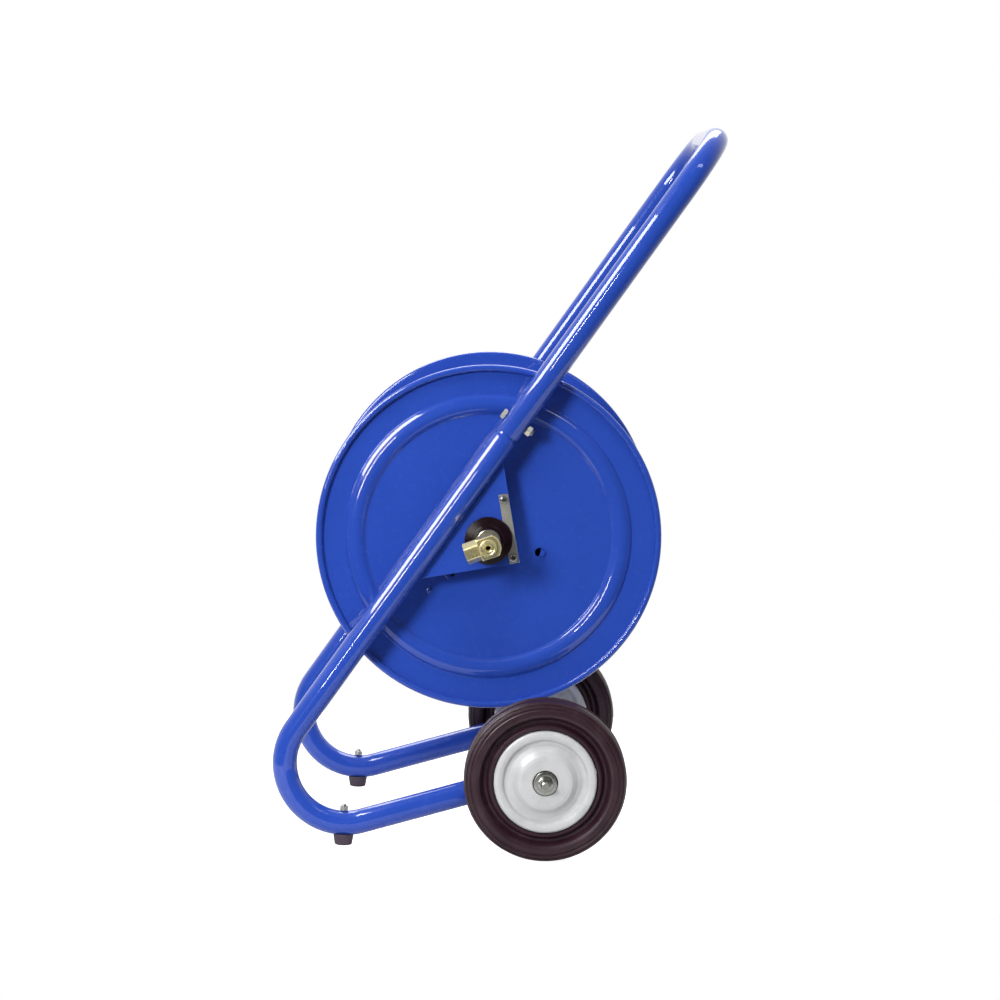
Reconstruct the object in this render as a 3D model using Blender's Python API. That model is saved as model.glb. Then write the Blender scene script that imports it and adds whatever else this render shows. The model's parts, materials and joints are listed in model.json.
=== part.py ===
"""Garden hose reel cart: a two-wheeled tube frame that carries a crank-wound hose reel.

Metres, +Z up. +X runs from the rubber feet to the wheels, and the reel and wheel axes run along Y.
The left side (-Y) carries the swivel inlet, and the right side (+Y) carries the crank.
Sizes along Y are given as distances outboard of the middle plane.
"""
import math

import bmesh
import bpy
from mathutils import Matrix, Vector

# --- Driving dimensions -------------------------------------------------------------------------
GAP = 0.0003                      # clearance between neighbouring pieces

TUBE_R = 0.015875                 # 1 1/4 inch frame tube
TUBE_WALL = 0.0016
BEND_R = 0.078                    # centre line radius of every tube bend
TUBE_Y = 0.1725                   # middle plane to the centre line of a side tube
INCLINE = math.radians(56.3)      # slope of the raked side tubes
FOOT_HEIGHT = 0.0116              # floor to the underside of the tube
BEND_RISE = 0.0010                # a flat nut on the hollow side of a bend stands this far off

WHEEL_R = 0.1036
WHEEL_X = 0.2525                  # from the feet to the wheel axle
WHEEL_Y = 0.2186
WHEEL_SIDES = 24
HUB_R = 0.0637
HUB_BORE_R = 0.0162
AXLE_R = 0.00635
AXLE_END_R = 0.0050
AXLE_SHOULDER = 0.2440            # where the axle steps down for its washer and nut
SPACER_R = 0.0111
BUSH_END = 0.1921                 # outer end of the bush between a side tube and its wheel
WASHER_THICKNESS = 0.0020

SWAGE_START = 0.4625              # distances along the raked tube, from the end of its bend
HANDLE_START = 0.4665
SWAGE_LENGTH = 0.060
HANDLE_BOLT_AT = 0.4860
HANDLE_TOP = 0.9236
REEL_AT = 0.3421
REEL_BELOW = 0.0594               # reel axis to the raked tube's centre line

PIN_R = 0.0040                    # bolts through the handle and the crank collar
PIN_HOLE_R = 0.0043
PIN_HALF_FLATS = 0.0063
FOOT_BOLT_R = 0.0030
FOOT_HOLE_R = 0.0033
SCREW_R = 0.0025
SCREW_HOLE_R = 0.0028
RIVET_R = 0.0020
RIVET_HOLE_R = 0.0023
THROUGH = 0.03                    # half length of a drill that passes both walls of a tube

DISC_R = 0.2224                   # 17 1/2 inch reel discs
DISC_WEB_Y = 0.1340               # inner face of a disc's flat web
SHEET = 0.0016
DRUM_R = 0.0715
DRUM_WALL = 0.0020
DRUM_SIDES = 60                   # puts one side of the drum at each tab
SHAFT_R = 0.0150
SHAFT_BORE_R = 0.0106
SHAFT_END = 0.1820                # inlet end of the shaft
TAB_RADIUS = 0.0685               # where the drum's tabs come through the discs
TAB_ANGLES = [math.radians(angle) for angle in (-15.0, 105.0, 225.0)]
TAB_STEM = 0.0042                 # through the disc, before the tab folds outward
TAB_THICKNESS = 0.0012
TAB_REACH = 0.0040

PLATE_Y = 0.1666                  # middle of a bearing bracket's plate
PLATE_THICKNESS = 0.004
PLATE_CORNER = 0.0495             # reel axis to the bracket's right-angled corner
BEARING_R = 0.0205
BEARING_SIDES = 24
FLANGE_R = 0.0305
STRIP_SCREWS = (0.0075, 0.0835)   # along the bracket's slotted edge, from its corner
STRIP_INSET = 0.0075              # from that edge to the screws
STRIP_HALF = 0.00125              # half the strip's thickness

RISER_ANGLE = math.radians(208.0)
RISER_Y = 0.1160
RISER_R = 0.0107
RISER_BEND_R = 0.022
RISER_RUN = 0.088                 # reel axis to the riser's tangential run
RISER_LENGTH = 0.040              # of that run, measured from its corner
CLAMP_AT = 0.029                  # how far along that run the clamp sits
RIVET_RUN = 0.0997
STRAP = 0.0015
OUTLET_R = 0.0125
OUTLET_BORE_R = 0.0085
OUTLET_LENGTH = 0.0240

PORT_ANGLE = math.radians(201.5)  # direction of the swivel's hose port
PORT_Y = 0.2288                   # middle plane of that port
PORT_FACE = 0.0305                # reel axis to the port's face
PORT_HALF_FLATS = 0.0125
PORT_BORE_R = 0.0096
NIPPLE_R = 0.0085
SEAT_R = 0.0118                   # recess for the swivel's seal
ELBOW_BACK = 0.1925               # inboard end of the elbow's neck
ELBOW_FACE = 0.2455               # outboard face of the elbow
CRANK_ANGLE = math.radians(286.5)   # hangs where the reel is in balance
CRANK_R = 0.165
CRANK_Y = 0.2070                  # middle of the crank bar
BAR_HALF = 0.0029                 # half the bar's thickness
COLLAR_START = 0.1840
COLLAR_R = 0.0225
SET_BOLT_Y = 0.1935
KNOB_BOLT_R = 0.0050
KNOB_OUT = 0.2800                 # outer end of the crank knob
AXLE_OUT = 0.2640                 # outer end of the wheel axle

# --- Points in the side view that follow from them ----------------------------------------------
ALONG = Vector((math.cos(INCLINE), 0.0, math.sin(INCLINE)))
ACROSS = Vector((-math.sin(INCLINE), 0.0, math.cos(INCLINE)))
BEND_CENTRE = Vector((-0.004, 0.0, FOOT_HEIGHT + TUBE_R + BEND_R))
RAKE_START = BEND_CENTRE + ACROSS * BEND_R
AXLE = Vector((WHEEL_X, 0.0, WHEEL_R))
REEL = RAKE_START + ALONG * REEL_AT - ACROSS * REEL_BELOW
EDGE = (ALONG + ACROSS).normalized()          # along a bracket's slotted edge
INWARD = (ACROSS - ALONG).normalized()        # from that edge into the plate
LEG_REACH = AXLE - BEND_CENTRE
LEG_SLOPE = math.atan2(LEG_REACH.z, LEG_REACH.x) + math.asin(BEND_R / LEG_REACH.length)
LEG = Vector((math.cos(LEG_SLOPE), 0.0, math.sin(LEG_SLOPE)))
LEG_END = AXLE + LEG * 0.024

MID_X = 0.5 * ((BEND_CENTRE.x - BEND_R - TUBE_R) + (RAKE_START + ALONG * HANDLE_TOP).x + TUBE_R)
MID_Y = 0.5 * (KNOB_OUT - AXLE_OUT)

SIDES = (("left", -1.0), ("right", 1.0))
OUTBOARD = Vector((0, 1, 0))      # to the outside of the right side
UP = Vector((0, 0, 1))

BLUE = ("blue_paint", (0.022, 0.080, 0.420), 0.25, 0.0)
WHITE = ("white_paint", (0.62, 0.63, 0.64), 0.35, 0.0)
RUBBER = ("tyre_rubber", (0.045, 0.030, 0.036), 0.65, 0.0)
FOOT_RUBBER = ("foot_rubber", (0.020, 0.018, 0.020), 0.70, 0.0)
NYLON = ("black_nylon", (0.020, 0.014, 0.018), 0.45, 0.0)
ZINC = ("zinc_plate", (0.55, 0.54, 0.50), 0.35, 1.0)
BRASS = ("brass", (0.72, 0.58, 0.26), 0.28, 1.0)


# --- Tools --------------------------------------------------------------------------------------
def clear_scene():
    """Remove every object of the scene."""
    for item in list(bpy.data.objects):
        bpy.data.objects.remove(item, do_unlink=True)


def material(kind):
    """One Principled material for each finish."""
    name, colour, roughness, metallic = kind
    found = bpy.data.materials.get(name)
    if found:
        return found
    made = bpy.data.materials.new(name)
    made.use_nodes = True
    shader = made.node_tree.nodes["Principled BSDF"]
    shader.inputs["Base Color"].default_value = (*colour, 1.0)
    shader.inputs["Roughness"].default_value = roughness
    shader.inputs["Metallic"].default_value = metallic
    made.diffuse_color = (*colour, 1.0)
    return made


def add_object(name, bm, kind, place, turn=None, sharp=35.0):
    """Turn a bmesh into an object under the cart's empty."""
    bmesh.ops.recalc_face_normals(bm, faces=bm.faces)
    mesh = bpy.data.meshes.new(name)
    bm.to_mesh(mesh)
    bm.free()
    mesh.shade_smooth()
    mesh.set_sharp_from_angle(angle=math.radians(sharp))
    item = bpy.data.objects.new(name, mesh)
    bpy.context.scene.collection.objects.link(item)
    item.data.materials.append(material(kind))
    item.parent = CART
    item.location = place
    if turn is not None:
        item.rotation_mode = "QUATERNION"
        item.rotation_quaternion = turn
    return item


def skin_loops(bm, loops, closed):
    """Skin a row of equal rings of vertices, with end caps or closed on itself."""
    count = len(loops[0])
    pairs = list(zip(loops, loops[1:]))
    if closed:
        pairs.append((loops[-1], loops[0]))
    for near, far in pairs:
        for index in range(count):
            after = (index + 1) % count
            bm.faces.new((near[index], near[after], far[after], far[index]))
    if not closed:
        bm.faces.new(loops[0])
        bm.faces.new(loops[-1])


def ring_radius(radius, shape, angle):
    """Radius of a round ring, or of a hexagon that measures twice the radius across its flats."""
    if shape == "hex":
        return radius / math.cos(angle % (math.pi / 3) - math.pi / 6)
    return radius


def turned(stations, segments, closed=False):
    """A turned piece along +Z from (height, radius) or (height, radius, "hex") stations."""
    bm = bmesh.new()
    loops = []
    for station in stations:
        height, radius = station[0], station[1]
        shape = station[2] if len(station) > 2 else "round"
        loop = []
        for index in range(segments):
            angle = 2 * math.pi * index / segments
            reach = ring_radius(radius, shape, angle)
            loop.append(bm.verts.new((reach * math.cos(angle), reach * math.sin(angle), height)))
        loops.append(loop)
    skin_loops(bm, loops, closed)
    return bm


def extruded(outline, low, high):
    """A flat plate along +Z from an outline of (x, y) points."""
    bm = bmesh.new()
    loops = []
    for height in (low, high):
        loops.append([bm.verts.new((x, y, height)) for x, y in outline])
    skin_loops(bm, loops, False)
    return bm


def arc(centre_x, centre_y, radius, start, end, steps):
    """Points along a circular arc, angles in degrees."""
    points = []
    for index in range(steps + 1):
        angle = math.radians(start + (end - start) * index / steps)
        points.append((centre_x + radius * math.cos(angle), centre_y + radius * math.sin(angle)))
    return points


def filleted_path(corners, radius, steps):
    """Positions and directions along a bent centre line, with an arc at each inner corner."""
    path = [(corners[0], (corners[1] - corners[0]).normalized())]
    for before, corner, after in zip(corners, corners[1:], corners[2:]):
        come = (corner - before).normalized()
        leave = (after - corner).normalized()
        bend = come.angle(leave)
        axis = come.cross(leave).normalized()
        start = corner - come * (radius * math.tan(bend / 2))
        centre = start + axis.cross(come) * radius
        for index in range(steps + 1):
            turn = Matrix.Rotation(bend * index / steps, 3, axis)
            path.append((centre + turn @ (start - centre), turn @ come))
    path.append((corners[-1], (corners[-1] - corners[-2]).normalized()))
    return path


def swept(path, normal, radii, segments):
    """A hollow tube along a flat path. radii holds (outer, inner) for each point of it."""
    bm = bmesh.new()
    outer_loops = []
    inner_loops = []
    for (centre, direction), (outer, inner) in zip(path, radii):
        side = normal.cross(direction).normalized()
        for radius, loops in ((outer, outer_loops), (inner, inner_loops)):
            loop = []
            for index in range(segments):
                angle = 2 * math.pi * index / segments
                offset = side * math.cos(angle) + normal * math.sin(angle)
                loop.append(bm.verts.new(centre + offset * radius))
            loops.append(loop)
    skin_loops(bm, outer_loops + inner_loops[::-1], True)
    return bm


def facing(direction, up=None):
    """Rotation that points a piece's +Z along direction, and its +X along up where given."""
    z_axis = direction.normalized()
    if up is None:
        return Vector((0, 0, 1)).rotation_difference(z_axis)
    x_axis = (up - z_axis * up.dot(z_axis)).normalized()
    y_axis = z_axis.cross(x_axis)
    return Matrix((x_axis, y_axis, z_axis)).transposed().to_quaternion()


def outward(side, up=None):
    """Rotation that points a piece's +Z to the outside of one side of the cart."""
    return facing(Vector((0, side, 0)), up if up is not None else Vector((1, 0, 0)))


def cutter(name, bm, place, turn=None):
    """A cutting body that is left out of the model."""
    item = add_object(name, bm, ZINC, place, turn)
    item.hide_render = True
    item.display_type = "WIRE"
    item.hide_set(True)
    return item


def combine(item, other, operation):
    """Join or cut one object with another."""
    modifier = item.modifiers.new(other.name, "BOOLEAN")
    modifier.operation = operation
    modifier.solver = "EXACT"
    modifier.object = other


def drill(item, radius, centre, direction, half_length, segments=12):
    """Cut a round hole through an object, both ways from a point."""
    bm = turned([(-half_length, radius), (half_length, radius)], segments)
    hole = cutter(item.name + "_hole", bm, centre, facing(direction))
    combine(item, hole, "DIFFERENCE")


# --- Frame --------------------------------------------------------------------------------------
def rake(distance, side):
    """Point on the centre line of a raked side tube."""
    return RAKE_START + ALONG * distance + Vector((0, side * TUBE_Y, 0))


def build_side_tube(name, side):
    """Bottom leg, bend and raked leg in one bent tube, with a swaged top that enters the handle."""
    offset = Vector((0, side * TUBE_Y, 0))
    half_turn = (math.pi - (INCLINE - LEG_SLOPE)) / 2
    corner = RAKE_START - ALONG * (BEND_R * math.tan(half_turn))
    path = filleted_path([LEG_END + offset, corner + offset, rake(SWAGE_START, side)], BEND_R, 10)
    inner = TUBE_R - TUBE_WALL
    radii = [(TUBE_R, inner)] * len(path)
    swage_r = inner - GAP
    swage_end = HANDLE_START + SWAGE_LENGTH
    path.append((rake(HANDLE_START, side), ALONG))
    path.append((rake(swage_end, side), ALONG))
    radii += [(swage_r, swage_r - TUBE_WALL)] * 2
    bm = swept(path, OUTBOARD, radii, 12)
    tube = add_object("frame_tube_" + name, bm, BLUE, (0, 0, 0))
    bend_bottom = Vector((BEND_CENTRE.x, side * TUBE_Y, FOOT_HEIGHT + TUBE_R))
    drill(tube, PIN_HOLE_R, rake(HANDLE_BOLT_AT, side), ACROSS, THROUGH)
    drill(tube, AXLE_R + GAP, AXLE + offset, OUTBOARD, THROUGH)
    drill(tube, FOOT_HOLE_R, bend_bottom, UP, THROUGH)


def build_handle():
    """U-shaped push handle that slips over the swaged ends of both side tubes."""
    corners = [rake(HANDLE_START, -1), rake(HANDLE_TOP, -1), rake(HANDLE_TOP, 1),
               rake(HANDLE_START, 1)]
    path = filleted_path(corners, BEND_R, 6)
    radii = [(TUBE_R, TUBE_R - TUBE_WALL)] * len(path)
    handle = add_object("handle_tube", swept(path, ACROSS, radii, 12), BLUE, (0, 0, 0))
    for _, side in SIDES:
        drill(handle, PIN_HOLE_R, rake(HANDLE_BOLT_AT, side), ACROSS, THROUGH)


def build_handle_bolts(name, side):
    """Hex bolt and nut that pin the handle to a side tube."""
    reach = TUBE_R + GAP
    centre = rake(HANDLE_BOLT_AT, side)
    stations = [(reach + 0.0055, PIN_HALF_FLATS, "hex"), (reach, PIN_HALF_FLATS, "hex"),
                (reach, PIN_R), (-reach - 0.0095, PIN_R)]
    add_object("handle_bolt_" + name, turned(stations, 12), ZINC, centre, facing(ACROSS, OUTBOARD))
    nut_place = centre - ACROSS * reach
    build_nut("handle_nut_" + name, nut_place, -ACROSS, PIN_HALF_FLATS, PIN_HOLE_R, 0.0065)


def build_nut(name, place, direction, half_flats, hole_r, height):
    """Hex nut that stands on place and points along direction."""
    stations = [(0, hole_r), (0, half_flats, "hex"), (height, half_flats, "hex"), (height, hole_r)]
    add_object(name, turned(stations, 12, True), ZINC, place, facing(direction, OUTBOARD))


def build_bracket(name, side):
    """Triangular plate beside the raked tube, with a U-slot that takes the shaft bearing."""
    reach = REEL_BELOW - TUBE_R - GAP
    spread = PLATE_CORNER + reach
    outline = [(0, -PLATE_CORNER), (spread, reach), (-spread, reach)]
    half = PLATE_THICKNESS / 2
    frame = Matrix((ALONG, ACROSS, Vector((0, -1, 0)))).transposed().to_quaternion()
    plate = add_object("bearing_bracket_" + name, extruded(outline, -half, half), BLUE,
                       REEL + Vector((0, side * PLATE_Y, 0)), frame)
    slot_r = BEARING_R + GAP
    lip = slot_r * math.sqrt(0.5)
    beyond = 0.040                 # the slot's walls run on past the plate's edge
    slot = arc(0, 0, slot_r, 45, 225, BEARING_SIDES // 2)
    slot += [(beyond - lip, -beyond - lip), (beyond + lip, lip - beyond)]
    mouth = cutter(plate.name + "_slot", extruded(slot, -0.01, 0.01), plate.location, frame)
    combine(plate, mouth, "DIFFERENCE")
    for distance in STRIP_SCREWS:
        drill(plate, SCREW_HOLE_R, strip_point(distance, STRIP_INSET, side, PLATE_Y), OUTBOARD, 0.01)


def strip_point(distance, inset, side, out):
    """Point beside the bracket's slotted edge, measured from its corner and in from the edge."""
    corner = REEL - ACROSS * PLATE_CORNER
    return corner + EDGE * distance + INWARD * inset + Vector((0, side * out, 0))


def build_strip(name, side):
    """Zinc strip across the mouth of the bracket's slot, and its two pan head screws."""
    outline = [(0.0006, 0.0006), (0.0906, 0.0006), (0.0906, 0.0131), (0.0006, 0.0131)]
    frame = Matrix((EDGE, INWARD, EDGE.cross(INWARD))).transposed().to_quaternion()
    middle = PLATE_Y + PLATE_THICKNESS / 2 + GAP + STRIP_HALF
    strip = add_object("bearing_strip_" + name, extruded(outline, -STRIP_HALF, STRIP_HALF), ZINC,
                       strip_point(0, 0, side, middle), frame)
    head = STRIP_HALF + GAP
    stations = [(-0.0085, SCREW_R), (head, SCREW_R), (head, 0.0052), (head + 0.0018, 0.0050),
                (head + 0.0032, 0.0030)]
    for label, distance in zip(("lower", "upper"), STRIP_SCREWS):
        place = strip_point(distance, STRIP_INSET, side, middle)
        drill(strip, SCREW_HOLE_R, place, OUTBOARD, 0.01)
        screw_name = "strip_screw_%s_%s" % (name, label)
        add_object(screw_name, turned(stations, 12), ZINC, place, outward(side))


def build_bearing(name, side):
    """Black nylon flange bearing that straddles the bracket plate."""
    bore = SHAFT_R + 0.00045
    inner = PLATE_Y - PLATE_THICKNESS / 2 - GAP
    outer = PLATE_Y + PLATE_THICKNESS / 2 + 2 * (GAP + STRIP_HALF)
    stations = [(inner - 0.0040, bore), (inner - 0.0040, 0.0260), (inner, 0.0260),
                (inner, BEARING_R), (outer, BEARING_R), (outer, FLANGE_R),
                (outer + 0.0035, FLANGE_R), (outer + 0.0060, 0.0190), (outer + 0.0065, bore)]
    bm = turned(stations, BEARING_SIDES, True)
    add_object("shaft_bearing_" + name, bm, NYLON, REEL, outward(side, EDGE))


# --- Wheels and feet ----------------------------------------------------------------------------
def build_axle():
    """Wheel axle, and the blue spacer tube that it clamps between the side tubes."""
    stations = [(-AXLE_OUT, AXLE_END_R), (-AXLE_SHOULDER, AXLE_END_R), (-AXLE_SHOULDER, AXLE_R),
                (AXLE_SHOULDER, AXLE_R), (AXLE_SHOULDER, AXLE_END_R), (AXLE_OUT, AXLE_END_R)]
    add_object("wheel_axle", turned(stations, 16), ZINC, AXLE, outward(1.0))
    half = TUBE_Y - TUBE_R - GAP
    spacer = sleeve(-half, half, AXLE_R + GAP, SPACER_R)
    add_object("axle_spacer_tube", spacer, BLUE, AXLE, outward(1.0))


def build_axle_end(name, side):
    """Bush, washer and nut on one end of the axle."""
    turn = outward(side)
    bush = sleeve(TUBE_Y + TUBE_R + GAP, BUSH_END, AXLE_R + GAP, SPACER_R)
    add_object("axle_bush_" + name, bush, ZINC, AXLE, turn)
    start = AXLE_SHOULDER + GAP
    bore = AXLE_END_R + GAP
    washer = sleeve(start, start + WASHER_THICKNESS, bore, 0.0150)
    add_object("axle_washer_" + name, washer, ZINC, AXLE, turn)
    nut_place = AXLE + OUTBOARD * (side * (start + WASHER_THICKNESS + GAP))
    build_nut("axle_nut_" + name, nut_place, OUTBOARD * side, 0.0072, bore, 0.0090)


def sleeve(start, end, bore, outer, segments=16):
    """A plain round sleeve or washer along +Z."""
    return turned([(start, bore), (start, outer), (end, outer), (end, bore)], segments, True)


def mirrored_profile(half):
    """Closed profile from (height, radius) points of its outer half."""
    return half + [(-height, radius) for height, radius in reversed(half)]


def build_wheel(name, side):
    """Semi-pneumatic tyre on two pressed hub halves with a bearing sleeve."""
    centre = AXLE + Vector((0, side * WHEEL_Y, 0))
    turn = outward(side)
    tyre = [(0.0105, HUB_R + GAP), (0.0105, 0.0700), (0.0195, 0.0820), (0.0222, 0.0865),
            (0.0216, 0.0975), (0.0160, WHEEL_R - 0.0008), (0.0060, WHEEL_R)]
    bm = turned(mirrored_profile(tyre), WHEEL_SIDES, True)
    add_object("tyre_" + name, bm, RUBBER, centre, turn)
    cup = [(GAP, HUB_R), (0.0172, HUB_R), (0.0212, 0.0588), (0.0172, 0.0515), (0.0175, 0.0405),
           (0.0262, 0.0335), (0.0262, HUB_BORE_R), (0.0242, HUB_BORE_R), (0.0242, 0.0325),
           (0.0155, 0.0395), (0.0152, HUB_R - 0.0020), (GAP, HUB_R - 0.0020)]
    for label, flip in (("outer", 1.0), ("inner", -1.0)):
        bm = turned(cup, WHEEL_SIDES, True)
        add_object("hub_%s_%s" % (label, name), bm, WHITE, centre, outward(side * flip))
    sleeve_piece = sleeve(-0.0260, 0.0250, AXLE_R + 0.00035, HUB_BORE_R - 0.0004, WHEEL_SIDES)
    add_object("wheel_sleeve_" + name, sleeve_piece, NYLON, centre, turn)


def build_foot(name, side):
    """Rubber bumper under the bend, held by a bolt with its nut on top of the tube."""
    place = Vector((BEND_CENTRE.x, side * TUBE_Y, 0))
    top = FOOT_HEIGHT + 0.0028                    # the rim rises a little around the tube
    floor = 0.0058                                # bottom of the recess for the bolt's head
    stations = [(0, 0.0062), (0, 0.0110), (top, 0.0135), (top, FOOT_HOLE_R), (floor, FOOT_HOLE_R),
                (floor, 0.0062)]
    foot = add_object("foot_" + name, turned(stations, 16, True), FOOT_RUBBER, place)
    saddle = turned([(-THROUGH, TUBE_R + GAP), (THROUGH, TUBE_R + GAP)], 24)
    saddle_cutter = cutter(foot.name + "_saddle", saddle, place + UP * (FOOT_HEIGHT + TUBE_R),
                           facing(Vector((1, 0, 0))))
    combine(foot, saddle_cutter, "DIFFERENCE")
    tube_top = FOOT_HEIGHT + 2 * TUBE_R           # the bend's inner wall rises around this point
    head = floor - GAP
    stations = [(head - 0.0040, 0.0052, "hex"), (head, 0.0052, "hex"), (head, FOOT_BOLT_R),
                (tube_top + 0.0088, FOOT_BOLT_R)]
    add_object("foot_bolt_" + name, turned(stations, 12), ZINC, place)
    nut_place = place + UP * (tube_top + BEND_RISE)
    build_nut("foot_nut_" + name, nut_place, UP, 0.0050, FOOT_HOLE_R, 0.0052)


def build_plug(name, side):
    """Plastic plug in the open end of a bottom leg."""
    inner = TUBE_R - TUBE_WALL - GAP
    stations = [(-0.0120, inner - 0.0006), (GAP, inner), (GAP, TUBE_R), (0.0022, TUBE_R),
                (0.0032, TUBE_R - 0.0015)]
    place = LEG_END + OUTBOARD * (side * TUBE_Y)
    add_object("tube_plug_" + name, turned(stations, 12), NYLON, place, facing(LEG, OUTBOARD))


# --- Reel ---------------------------------------------------------------------------------------
def polar(radius, angle, out):
    """Point on the reel at a radius and an angle in the side view, and a distance along Y."""
    return REEL + Vector((radius * math.cos(angle), out, radius * math.sin(angle)))


def build_shaft():
    """Reel shaft: bored from the inlet end as far as the riser's branch hole."""
    stations = [(-0.2140, SHAFT_R), (SHAFT_END, SHAFT_R), (SHAFT_END, SHAFT_BORE_R),
                (0.0900, SHAFT_BORE_R)]
    shaft = add_object("reel_shaft", turned(stations, 24), ZINC, REEL, outward(-1.0))
    radial = riser_frame()[0]
    bm = turned([(SHAFT_R - 0.0120, 0.0070), (SHAFT_R + 0.0050, 0.0070)], 12)
    branch = cutter("reel_shaft_branch", bm, REEL - OUTBOARD * RISER_Y, facing(radial))
    combine(shaft, branch, "DIFFERENCE")


def build_disc(name, side):
    """Pressed reel disc with a raised annular bead and a rolled rim."""
    face = DISC_WEB_Y + SHEET
    bore = SHAFT_R + 0.0005
    bead = [(0.0, 0.1520), (0.0056, 0.1640), (0.0056, 0.1760), (0.0, 0.1880)]
    curl_r = 0.0042
    curl = arc(face + curl_r, DISC_R - curl_r, curl_r, -90, 150, 4)
    stations = [(face, bore)] + [(face + rise, radius) for rise, radius in bead]
    stations += [(face, DISC_R - 2 * curl_r - GAP)] + curl + [(DISC_WEB_Y, DISC_R - 0.0060)]
    stations += [(DISC_WEB_Y + rise, radius) for rise, radius in reversed(bead)]
    stations += [(DISC_WEB_Y, bore)]
    disc = add_object("reel_disc_" + name, turned(stations, 32, True), BLUE, REEL, outward(side))
    for angle in TAB_ANGLES:
        drill(disc, 0.0060, polar(TAB_RADIUS, angle, side * face), OUTBOARD, 0.01)


def build_drum():
    """Rolled drum with three tabs at each end, which pass through the discs and fold outward."""
    half = DISC_WEB_Y - 0.0005
    bm = sleeve(-half, half, DRUM_R - DRUM_WALL, DRUM_R, DRUM_SIDES)
    bm.faces.ensure_lookup_table()
    ends = []
    for face in bm.faces:
        centre = face.calc_center_median()
        if abs(abs(centre.z) - half) > 1e-5:
            continue
        angle = math.atan2(centre.y, centre.x)
        for tab_angle in TAB_ANGLES:
            swing = (angle - tab_angle + math.pi) % (2 * math.pi) - math.pi
            if abs(swing) < math.pi / DRUM_SIDES:
                ends.append(face)
    for face in ends:
        way = UP * math.copysign(1.0, face.calc_center_median().z)
        step = raise_face(bm, face, way * TAB_STEM)[0]
        walls = raise_face(bm, step, way * TAB_THICKNESS)[1]
        wall = max(walls, key=lambda side_wall: side_wall.calc_center_median().xy.length)
        away = wall.calc_center_median()
        away.z = 0
        raise_face(bm, wall, away.normalized() * TAB_REACH)
    drum = add_object("reel_drum", bm, BLUE, REEL, outward(-1.0))
    radial = riser_frame()[0]
    drill(drum, RISER_R + 0.0018, REEL - OUTBOARD * RISER_Y + radial * DRUM_R, radial, 0.02, 16)


def raise_face(bm, face, offset):
    """Draw one face out by an offset. Returns the moved face and its new side walls."""
    old = list(face.verts)
    new = [bm.verts.new(vert.co + offset) for vert in old]
    bm.faces.remove(face)
    walls = []
    for index in range(len(old)):
        after = (index + 1) % len(old)
        walls.append(bm.faces.new((old[index], old[after], new[after], new[index])))
    return bm.faces.new(new), walls


def riser_frame():
    """Radial and tangential directions of the riser."""
    radial = Vector((math.cos(RISER_ANGLE), 0, math.sin(RISER_ANGLE)))
    tangential = Vector((-math.sin(RISER_ANGLE), 0, math.cos(RISER_ANGLE)))
    return radial, tangential


def build_riser():
    """Pipe from the shaft through the drum, with a threaded hose outlet on its end."""
    radial, tangential = riser_frame()
    base = REEL - OUTBOARD * RISER_Y
    corner = base + radial * RISER_RUN
    end = corner + tangential * RISER_LENGTH
    path = filleted_path([base + radial * (SHAFT_R + GAP), corner, end], RISER_BEND_R, 5)
    radii = [(RISER_R, RISER_R - 0.0025)] * len(path)
    normal = radial.cross(tangential).normalized()
    add_object("riser_pipe", swept(path, normal, radii, 12), ZINC, (0, 0, 0))
    fitting = [(0.0, 0.0135, "hex"), (0.0080, 0.0135, "hex"), (0.0080, OUTLET_R),
               (OUTLET_LENGTH, OUTLET_R), (OUTLET_LENGTH, OUTLET_BORE_R), (0.0, OUTLET_BORE_R)]
    outlet = turned(fitting, 12, True)
    add_object("hose_outlet", outlet, BRASS, end + tangential * GAP, facing(tangential, normal))


def build_clamp():
    """Strap that holds the riser to the left disc, and its rivet."""
    radial, tangential = riser_frame()
    centre = REEL - OUTBOARD * RISER_Y + radial * RISER_RUN + tangential * CLAMP_AT
    turn = Matrix((radial, -OUTBOARD, radial.cross(-OUTBOARD))).transposed().to_quaternion()
    half = 0.0055
    ring = sleeve(-half, half, RISER_R + GAP, RISER_R + GAP + STRAP)
    clamp = add_object("riser_clamp", ring, ZINC, centre, turn)
    foot = DISC_WEB_Y - RISER_Y - GAP
    ear = RIVET_RUN - RISER_RUN + half
    outline = [(half, 0.0100), (half + STRAP, 0.0100), (half + STRAP, foot - STRAP),
               (ear, foot - STRAP), (ear, foot), (half, foot)]
    leg = cutter("riser_clamp_leg", extruded(outline, -half, half), centre, turn)
    combine(clamp, leg, "UNION")
    rivet_place = REEL + radial * RIVET_RUN + tangential * CLAMP_AT
    web = rivet_place - OUTBOARD * (DISC_WEB_Y + SHEET)
    drill(clamp, RIVET_HOLE_R, rivet_place - OUTBOARD * DISC_WEB_Y, OUTBOARD, 0.004)
    drill(bpy.data.objects["reel_disc_left"], RIVET_HOLE_R, web, OUTBOARD, 0.006)
    inside = -(SHEET + STRAP + 2 * GAP)
    rivet = [(inside - 0.0014, 0.0030), (inside, 0.0034), (inside, RIVET_R), (GAP, RIVET_R),
             (GAP, 0.0037), (0.0016, 0.0035), (0.0026, 0.0020)]
    add_object("clamp_rivet", turned(rivet, 12), BLUE, web, outward(-1.0))


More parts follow.
